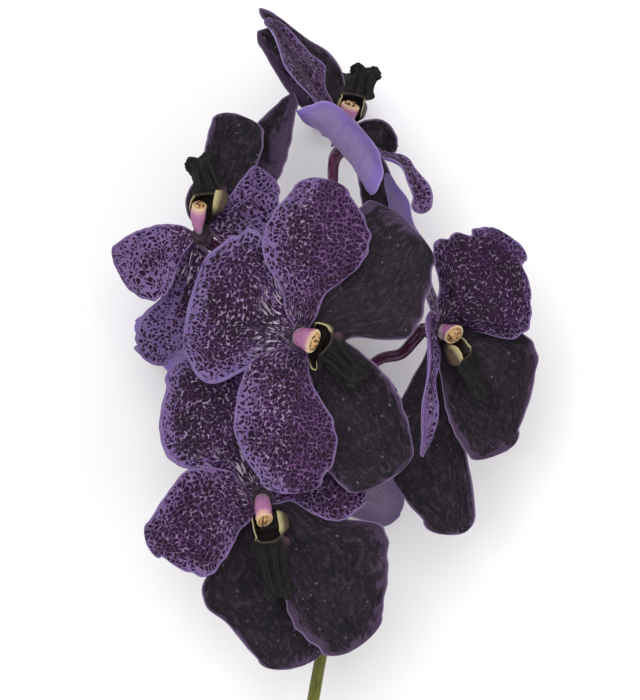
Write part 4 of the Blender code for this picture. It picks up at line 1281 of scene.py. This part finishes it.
def dark_tissue(name, colours):
    """Fresh orchid sepal, almost black with purple pigment, under the same soft wax. Its lilac
    margin runs into it in short streaks, a few small pale flecks show on it, and its creases are
    darkened with painted shade."""
    material, node = new_material(name, roughness=0.5, ior=1.42, specular=0.08)
    blade, fan, margin, share, mood = blade_coordinates(node)
    # Clouds 10 mm wide, grain of 0.8 mm, and streaks 1 mm wide and 3 mm long.
    cloud = node(NOISE, {"Vector": blade, "Scale": 0.1, "Detail": 4.0})
    fine = node(NOISE, {"Vector": blade, "Scale": 1.3, "Detail": 3.0})
    streaks_at = node(VECTORS, (fan, (1.0, 0.32, 0.0)), operation="MULTIPLY")
    streaks = node(NOISE, {"Vector": streaks_at, "Scale": 1.0, "Detail": 3.0})
    spacing = (1 / FLECK_SPACING, 0.8 / FLECK_SPACING, 0.0)
    fleck_at = node(VECTORS, (blade, spacing), operation="MULTIPLY")
    fleck = node(CELLS, {"Vector": fleck_at, "Scale": 1.0}, None, voronoi_dimensions="2D")
    own = node("ShaderNodeSeparateColor", (fleck.outputs["Color"],))
    own = node(MATH, (mood.outputs[1], 0.4, own), operation="MULTIPLY_ADD")
    ramps = {
        "cloud": (cloud, 0.35, 0.65, 0.0, 1.0),
        "fine": (fine, 0.42, 0.66, 0.0, 0.8),
        "grain": (streaks, 0.5, 0.66, 0.0, 0.6),
        "reach": (streaks, 0.35, 0.68, 0.8, 2.0),
        "wide": (cloud, 0.4, 0.6, 0.4, 1.0),
        "away": (share, 0.2, 0.55, 0.0, 1.0),
        "fleck_size": (own, 0.6, 1.2, 0.0, 0.13),
        # Painted shade along the creases, from the crease depth that the mood carries.
        "crease": (mood.outputs[2], 0.2, 1.0, 0.0, 0.8),
        "edge": (margin, 0.45, 0.05, 0.0, 0.8),
        "claw": (share, 0.05, 0.01, 0.0, 0.8),
    }
    mask = {key: node(RAMP, ramp, **SOFT) for key, ramp in ramps.items()}
    # The lilac margin is 1 mm wide, and 7 mm times the blade's mood wider.
    reach = node(MATH, (mood.outputs[0], 7.0, 1.0), operation="MULTIPLY_ADD")
    reach = node(MATH, (reach, mask["wide"]), operation="MULTIPLY")
    reach = node(MATH, (reach, mask["reach"]), operation="MULTIPLY")
    band = node(MATH, (margin, reach), operation="DIVIDE")
    band = node(RAMP, (band, 1.0, 0.2, 0.0, 0.9), **SOFT)
    band = node(MATH, (band, mask["away"]), operation="MULTIPLY")
    small = node(MATH, (mask["fleck_size"], fleck.outputs["Distance"]), operation="SUBTRACT")
    flecks = node(RAMP, (small, -0.03, 0.05, 0.0, 0.7))
    layers = (
        (mask["cloud"], colours["warm"]),
        (mask["fine"], colours["shade"]),
        (mask["grain"], colours["grain"]),
        (band, colours["margin"]),
        # The creases get painted shade: a near-black tone laid over the ground.
        (mask["crease"], colours["crease"]),
        (flecks, colours["fleck"]),
        (mask["claw"], colours["claw"]),
        (mask["edge"], colours["rim"]),
    )
    return dress(material, colours["ground"], layers, fine, strength=0.4, depth=0.15)


def back_tissue(name, colours):
    """The back of a petal: the same wax over plain lilac, with fine veins. It is greyer in the
    middle and bluer at the margin."""
    material, node = new_material(name, roughness=0.45, ior=1.42, specular=0.25)
    blade, fan, margin, share, _ = blade_coordinates(node)
    # Clouds 10 mm wide, grain of 1.1 mm, and veins 1.1 mm apart.
    cloud = node(NOISE, {"Vector": blade, "Scale": 0.1, "Detail": 3.0})
    fine = node(NOISE, {"Vector": blade, "Scale": 0.9, "Detail": 3.0})
    veins_at = node(VECTORS, (fan, (0.9, 0.05, 0.0)), operation="MULTIPLY")
    veins = node(NOISE, {"Vector": veins_at, "Scale": 1.0, "Detail": 2.0})
    depth = node(MATH, (cloud, PATCH_REACH, margin), operation="MULTIPLY_ADD")
    ramps = {
        "middle": (depth, 5.5, 11.0, 0.0, 1.0),
        "veins": (veins, 0.5, 0.7, 0.0, 0.35),
        "fine": (fine, 0.5, 0.7, 0.0, 0.3),
        "claw": (share, 0.08, 0.01, 0.0, 0.7),
        "edge": (margin, 0.5, 0.1, 0.0, 0.7),
    }
    tone_of = {"middle": "warm", "veins": "vein", "fine": "vein", "claw": "claw", "edge": "rim"}
    layers = [(node(RAMP, ramps[key], **SOFT), colours[tone_of[key]]) for key in ramps]
    return dress(material, colours["cool"], layers, veins, strength=0.5, depth=0.2)


def lip_tissue(name, colours):
    """The lip: thick waxy tissue, nearly black on the midlobe, olive on the outside and the rims
    of the side lobes, mauve on the corners."""
    material, node = new_material(name, roughness=0.42, ior=1.45, specular=0.12)
    zone, blade = (
        node("ShaderNodeAttribute", output="Vector", attribute_name=key)
        for key in ("zone", "blade")
    )
    parts = node(SPLIT, (zone,), None)
    margin = node(SPLIT, (blade,), 2)
    away = node(RAMP, (margin, 0.2, 1.7))
    # Clouds 1.4 mm wide, and a skin with bumps of 0.5 mm.
    noise = node(NOISE, {"Vector": blade, "Scale": 0.7, "Detail": 3.0})
    clouds = node(RAMP, (noise, 0.32, 0.68), **SOFT)
    olive = {0: away, 6: colours["cream"], 7: colours["olive"]}
    olive = node(MIX, olive, 2, data_type="RGBA")
    layers = (
        (clouds, colours["dusk"]),
        (parts.outputs[2], colours["brown"]),
        (parts.outputs[0], olive),
        (parts.outputs[1], colours["mauve"]),
    )
    fine = node(NOISE, {"Vector": blade, "Scale": 2.2, "Detail": 2.0})
    return dress(material, colours["black"], layers, fine, strength=0.5, depth=0.12)


def column_tissue(name, colours):
    """The column: firm waxy tissue, mauve-pink that pales to cream at the collar, and a tan anther
    cap with brown marks."""
    material, node = new_material(name, roughness=0.4, ior=1.45, specular=0.35)
    zone = node("ShaderNodeAttribute", output="Vector", attribute_name="zone")
    place = node("ShaderNodeTexCoord", output="Object")
    parts = node(SPLIT, (zone,), None)
    # Deeper clouds 2 mm wide, and brown marks of 1 mm on the cap.
    noise = node(NOISE, {"Vector": place, "Scale": 0.5 / MM, "Detail": 3.0})
    marks = node(NOISE, {"Vector": place, "Scale": 1.0 / MM, "Detail": 1.0})
    ramps = {
        "pink": (parts.outputs[0], 0.0, 0.3, 0.0, 1.0),
        "deep": (noise, 0.4, 0.7, 0.0, 0.5),
        "peach": (parts.outputs[0], 0.8, 1.0, 0.0, 1.0),
        "marks": (marks, 0.5, 0.58, 0.0, 1.0),
    }
    mask = {key: node(RAMP, ramp, **SOFT) for key, ramp in ramps.items()}
    cap = {0: mask["marks"], 6: colours["tan"], 7: colours["brown"]}
    cap = node(MIX, cap, 2, data_type="RGBA")
    layers = [(mask[key], colours[key]) for key in ("pink", "deep", "peach")]
    layers += [(parts.outputs[2], colours["cream"]), (parts.outputs[1], cap)]
    return dress(material, colours["foot"], layers, noise, strength=0.4, depth=0.12)


def stalk_skin(name, colours, roughness):
    """Fresh stalk or stem skin: a thin wax over ribs, with lengthwise stripes of a darker and a
    paler tone. It changes colour from its foot to its head."""
    material, node = new_material(name, roughness=roughness, ior=1.45, specular=0.3)
    share, run, around = (
        node("ShaderNodeAttribute", output="Fac", attribute_name=key)
        for key in ("share", "run", "around")
    )
    # The stripes follow the place round the stalk, and change over about 5 mm along it.
    stretched = node(MATH, (run, 0.06 / MM), operation="MULTIPLY")
    round_x = node(MATH, (around,), operation="COSINE")
    round_y = node(MATH, (around,), operation="SINE")
    place = node("ShaderNodeCombineXYZ", (round_x, round_y, stretched))
    stripes = node(NOISE, {"Vector": place, "Scale": 3.4, "Detail": 3.0})
    ramps = {
        "body": (share, 0.1, 0.75, 0.0, 1.0),
        "pale": (stripes, 0.52, 0.66, 0.0, 0.5),
        "dark": (stripes, 0.45, 0.3, 0.0, 0.7),
        "head": (share, 0.93, 0.98, 0.0, 1.0),
    }
    layers = [(node(RAMP, ramp, **SOFT), colours[key]) for key, ramp in ramps.items()]
    return dress(material, colours["foot"], layers, stripes, strength=0.5, depth=0.15)


def plain_floor(name, colour):
    """A matt painted table top, with the faintest unevenness in its paint, 0.3 m wide."""
    material, node = new_material(name, roughness=0.9, ior=1.45, specular=0.1)
    place = node("ShaderNodeTexCoord", output="Object")
    noise = node(NOISE, {"Vector": place, "Scale": 3.0, "Detail": 2.0})
    dimmer = tuple(0.985 * part for part in colour)
    paint = node(MIX, {0: noise, 6: colour, 7: dimmer}, 2, data_type="RGBA")
    tree = material.node_tree
    tree.links.new(paint, tree.nodes["Principled BSDF"].inputs["Base Color"])
    return material


def length_property(name, description, **limits):
    return FloatProperty(
        name=name,
        description=description,
        subtype="DISTANCE",
        unit="LENGTH",
        precision=5,
        **limits,
    )


class OrchidSizes(bpy.types.PropertyGroup):
    """Sizes that a user would change."""

    tepal_thickness: length_property(
        "Petal thickness",
        "Thickness of a petal or sepal away from its rim",
        default=0.8 * MM,
        min=0.3 * MM,
        max=2.0 * MM,
    )
    lip_thickness: length_property(
        "Lip thickness",
        "Thickness of the lip away from its rim",
        default=0.9 * MM,
        min=0.3 * MM,
        max=2.0 * MM,
    )
    column_scale: FloatProperty(
        name="Column thickness",
        description="Thickness of each column against that of its plain solid",
        default=1.0,
        min=0.7,
        max=1.1,
        subtype="FACTOR",
    )
    stalk_ribs: IntProperty(
        name="Ribs on a stalk",
        description="Count of the ribs that run along each flower stalk",
        default=6,
        min=3,
        max=16,
    )
    stem_ribs: IntProperty(
        name="Ribs on the stem",
        description="Count of the ribs that run along the stem",
        default=9,
        min=3,
        max=24,
    )
    camera_height: length_property(
        "Camera height",
        "Height of the camera above the table",
        default=1.58,
        min=0.5,
        max=5.0,
    )


def colour_property(name, description, code):
    return FloatVectorProperty(
        name=name,
        description=description,
        default=linear(code),
        min=0.0,
        max=1.0,
        size=3,
        subtype="COLOR",
    )


class OrchidColours(bpy.types.PropertyGroup):
    """Colours that a user would change."""

    violet: colour_property("Violet", "Margins and spaces between the spots", "#5E4879")
    net: colour_property("Net", "Pale net between the dark cells", "#927E9C")
    spot: colour_property("Spot", "Dark spots", "#26112D")
    sepal: colour_property("Dark sepal", "Ground of the dark sepals", "#1F1C22")
    back: colour_property("Back", "Backs of the petals", "#7A63A6")
    pink: colour_property("Column pink", "Body of the column", "#A0688E")
    lip: colour_property("Lip", "Middle of the lip", "#131313")
    stalk: colour_property("Stalk", "Flower stalks", "#3C0A2E")
    stem: colour_property("Stem", "Green of the stem", "#37491A")
    floor: colour_property("Table", "The plain table", "#FBFAFA")


def sizes():
    return bpy.context.scene.orchid_sizes


def colours():
    return bpy.context.scene.orchid_colours


def piece_seed(bloom, piece):
    """A fixed number for each piece, for its random draws."""
    return 11 + 7 * list(FLOWERS).index(bloom) + 61 * PIECES.index(piece)


def make_pieces(shape, materials):
    """Makes some pieces of every bloom. shape gives the mesh of one from its name, its bloom and
    its piece, and materials holds what each piece is made of."""
    for bloom, flower in FLOWERS.items():
        for piece, dressing in materials.items():
            node = f"{bloom}_bloom_{piece}"
            mesh = shape(f"fine_{node}", bloom, piece)
            place_piece(f"fine_{node}", mesh, flower, dressing, node)
    return {"FINISHED"}


class ORCHID_OT_petals(bpy.types.Operator):
    """Makes the spotted petals and upper sepals of every bloom"""

    bl_idname = "orchid.petals"
    bl_label = "Petals and upper sepals"

    def execute(self, context):
        chosen = colours()
        tones = shades(
            margin=chosen.violet,
            margin_warm="#70507C",
            dim="#4A3468",
            halo="#806C9A",
            middle="#4A3056",
            haze="#5C3D66",
            pale=chosen.net,
            spot=chosen.spot,
            spot_warm="#21121F",
            streak="#A39AA6",
            claw="#4A4048",
            rim="#736088",
        )
        lilac = shades(
            cool=chosen.back, warm="#7F6C98", vein="#66528F", rim="#9482B8", claw="#A294A6"
        )
        backs = back_tissue("Lilac petal back", lilac)
        petals = (spotted_tissue("Spotted petal tissue", tones, PETAL_LOOK), backs)
        dorsals = (spotted_tissue("Spotted upper sepal tissue", tones, DORSAL_LOOK), backs)
        materials = {"petal_1": petals, "petal_2": petals, "dorsal_sepal": dorsals}
        return make_pieces(blade_mesh, materials)


class ORCHID_OT_sepals(bpy.types.Operator):
    """Makes the two dark lower sepals of every bloom"""

    bl_idname = "orchid.sepals"
    bl_label = "Dark lower sepals"

    def execute(self, context):
        tones = shades(
            ground=colours().sepal,
            warm="#2B222B",
            shade="#110F13",
            grain="#3B303D",
            # Painted shade for the creases of the dark sepals.
            crease="#131114",
            margin="#483850",
            fleck="#685C70",
            claw="#3A3438",
            rim="#786686",
        )
        mauve = shades(
            cool="#5E4E6C", warm="#6E5A78", vein="#4A3B58", rim="#8C78A0", claw="#8E8088"
        )
        dark = (dark_tissue("Dark sepal tissue", tones), back_tissue("Mauve sepal back", mauve))
        materials = {"lateral_sepal_1": dark, "lateral_sepal_2": dark}
        return make_pieces(blade_mesh, materials)


class ORCHID_OT_lips(bpy.types.Operator):
    """Makes the dark lip of every bloom, with its side lobes"""

    bl_idname = "orchid.lips"
    bl_label = "Lips"

    def execute(self, context):
        tones = shades(
            black=colours().lip,
            dusk="#1A1719",
            brown="#1C1413",
            olive="#4E4136",
            cream="#A69C74",
            mauve="#47303B",
        )
        material = lip_tissue("Black lip tissue", tones)
        return make_pieces(lip_mesh, {"lip": (material, material)})


class ORCHID_OT_columns(bpy.types.Operator):
    """Makes the column of every bloom, with its anther cap"""

    bl_idname = "orchid.columns"
    bl_label = "Columns"

    def execute(self, context):
        tones = shades(
            foot="#A8959E",
            pink=colours().pink,
            deep="#86547A",
            peach="#C9A090",
            cream="#C9B884",
            tan="#B08A5C",
            brown="#4A3020",
        )
        material = column_tissue("Pink column tissue", tones)
        return make_pieces(column_mesh, {"column": (material,)})


class ORCHID_OT_stalks(bpy.types.Operator):
    """Makes the ribbed stalk of every bloom"""

    bl_idname = "orchid.stalks"
    bl_label = "Flower stalks"

    def execute(self, context):
        tones = shades(
            foot="#4A1439", body=colours().stalk, pale="#9A6C92", dark="#1E0618", head="#2E242B"
        )
        material = stalk_skin("Purple stalk skin", tones, 0.38)
        tree = sweep_tree("Ribbed stalk")
        settings = dict(STALK_SECTION, Ribs=sizes().stalk_ribs)

        def stalk_mesh(name, bloom, _):
            line, radii = pedicel_line(FLOWERS[bloom])
            return swept_mesh(name, tree, line, radii, material, settings)

        return make_pieces(stalk_mesh, {"pedicel": (material,)})


class ORCHID_OT_stem(bpy.types.Operator):
    """Makes the ribbed stem, with a bract under each flower stalk"""

    bl_idname = "orchid.stem"
    bl_label = "Stem"

    def execute(self, context):
        tones = shades(
            foot="#736D2A", body=colours().stem, pale="#667036", dark="#2E3A14", head="#3C501C"
        )
        material = stalk_skin("Green stem skin", tones, 0.45)
        tree = sweep_tree("Ribbed stem")
        s = np.linspace(0.0, 1.0, STEM_RINGS)
        radii = stem_radius(s) * (1.0 + 0.03 * uneven(s, 5, 3.0, 14.0))
        settings = dict(STEM_SECTION, Ribs=sizes().stem_ribs)
        bract = bract_object()
        found = bract_places()
        mesh = swept_mesh("fine_stem", tree, stem_line(s), radii, material, settings, bract, found)
        bpy.data.objects.remove(bract)
        mesh.transform(Matrix.Translation(Vector(FLOWERS_FROM_ORIGIN) * MM))
        slope_cut(mesh)
        place_mesh("fine_stem", mesh, (material,), "stem")
        return {"FINISHED"}


def bract_object():
    """One bract, for a stem of radius 1 m, that is copied at the right size: a short pointed scale
    that clasps the stem along Z and stands a little off it at its tip."""
    rows, columns = 12, 13
    s = np.linspace(0.0, 1.0, rows)[:, None]
    t = np.linspace(-1.0, 1.0, columns)[None, :]
    turn = BRACT_CLASP * np.sqrt(np.maximum(1.0 - s**1.6, 0.002)) * t
    stand = 1.02 + BRACT_STANDOFF * s**2 + 0.10 * (1.0 - t**2)
    height = BRACT_REACH * (s - 1.0) + 0 * t
    surface = np.stack([np.cos(turn) * stand, np.sin(turn) * stand, height], axis=-1)
    margin = np.minimum(1.0 - np.abs(t), 1.0 - s)
    mesh = sheet_mesh("bract", surface / MM, BRACT_THICKNESS / MM, margin, {})
    obj = bpy.data.objects.new("bract", mesh)
    bpy.context.scene.collection.objects.link(obj)
    return obj


def bract_places():
    """The place, turn and size of each bract along the stem."""
    found = []
    for flower in FLOWERS.values():
        share, foot, away, along = pedicel_foot(flower)
        axes = np.stack([away, np.cross(along, away), along], axis=1)
        turn = Matrix(axes.tolist()).to_euler("XYZ")
        place = foot - along * BRACT_BELOW_FOOT
        found.append((place, tuple(turn), float(stem_radius(share)) * MM))
    return found


def slope_cut(mesh):
    """Slants the cut end of the stem, as a knife leaves it."""
    foot = (np.asarray(STEM_PATH[0]) + np.asarray(FLOWERS_FROM_ORIGIN)) * MM
    along = unit(np.asarray(STEM_PATH[1]) - np.asarray(STEM_PATH[0]))
    side = unit(np.cross(along, (0.0, 0.0, 1.0)))
    upward = np.cross(side, along)
    for vertex in mesh.vertices:
        away = np.asarray(vertex.co) - foot
        if away @ along < STEM_CUT_REACH * MM:
            vertex.co -= Vector(along * STEM_CUT_SLOPE * float(away @ upward))


class ORCHID_OT_stage(bpy.types.Operator):
    """Makes the table, the soft lights and the camera"""

    bl_idname = "orchid.stage"
    bl_label = "Stage"

    def execute(self, context):
        table = bmesh.new()
        bmesh.ops.create_grid(table, x_segments=8, y_segments=8, size=TABLE_REACH)
        mesh = bpy.data.meshes.new("table")
        table.to_mesh(mesh)
        table.free()
        floor = bpy.data.objects.new("table", mesh)
        context.scene.collection.objects.link(floor)
        mesh.materials.append(plain_floor("Matt white table", tuple(colours().floor)))
        for soft_box in SOFT_BOXES:
            soft_light(context, *soft_box)
        world = bpy.data.worlds.new("Soft room")
        world.use_nodes = True
        background = world.node_tree.nodes["Background"]
        background.inputs["Color"].default_value = (1.0, 1.0, 1.0, 1.0)
        background.inputs["Strength"].default_value = ROOM_LIGHT
        context.scene.world = world
        context.scene.view_settings.view_transform = "Standard"
        camera = bpy.data.cameras.new("camera")
        camera.sensor_fit = "VERTICAL"
        camera.sensor_height = SENSOR
        camera.lens = SENSOR * (sizes().camera_height - PICTURE_PLANE) / PICTURE_HEIGHT
        holder = bpy.data.objects.new("camera", camera)
        holder.location = Vector(FLOWERS_FROM_ORIGIN) * MM
        holder.location.z = sizes().camera_height
        context.scene.collection.objects.link(holder)
        context.scene.camera = holder
        return {"FINISHED"}


def soft_light(context, name, place, size, power):
    """A square soft box that faces the middle of the flowers."""
    light = bpy.data.lights.new(name, "AREA")
    light.shape = "SQUARE"
    light.size = size
    light.energy = power
    lamp = bpy.data.objects.new(name, light)
    lamp.location = place
    aim = Vector((FLOWERS_FROM_ORIGIN[0] * MM, FLOWERS_FROM_ORIGIN[1] * MM, LIGHT_AIM_HEIGHT))
    lamp.rotation_euler = (aim - Vector(place)).to_track_quat("-Z", "Y").to_euler()
    context.scene.collection.objects.link(lamp)


OPERATORS = (
    ORCHID_OT_stage,
    ORCHID_OT_stem,
    ORCHID_OT_stalks,
    ORCHID_OT_columns,
    ORCHID_OT_lips,
    ORCHID_OT_petals,
    ORCHID_OT_sepals,
)


class ORCHID_PT_panel(bpy.types.Panel):
    """Lists the pieces of the orchid"""

    bl_idname = "ORCHID_PT_panel"
    bl_label = "Cut Vanda Orchid"
    bl_space_type = "VIEW_3D"
    bl_region_type = "UI"
    bl_category = "Orchid"

    def draw(self, context):
        for group in (context.scene.orchid_sizes, context.scene.orchid_colours):
            box = self.layout.box()
            for key in group.__annotations__:
                box.prop(group, key)
        for operator in OPERATORS:
            self.layout.operator(operator.bl_idname)


CLASSES = (OrchidSizes, OrchidColours) + OPERATORS + (ORCHID_PT_panel,)


def register():
    for item in CLASSES:
        bpy.utils.register_class(item)
    bpy.types.Scene.orchid_sizes = PointerProperty(type=OrchidSizes)
    bpy.types.Scene.orchid_colours = PointerProperty(type=OrchidColours)


def unregister():
    del bpy.types.Scene.orchid_sizes
    del bpy.types.Scene.orchid_colours
    for item in reversed(CLASSES):
        bpy.utils.unregister_class(item)


def main():
    register()
    bpy.ops.orchid.stage()
    bpy.ops.orchid.stem()
    bpy.ops.orchid.stalks()
    bpy.ops.orchid.columns()
    bpy.ops.orchid.lips()
    bpy.ops.orchid.petals()
    bpy.ops.orchid.sepals()


if __name__ == "__main__":
    main()
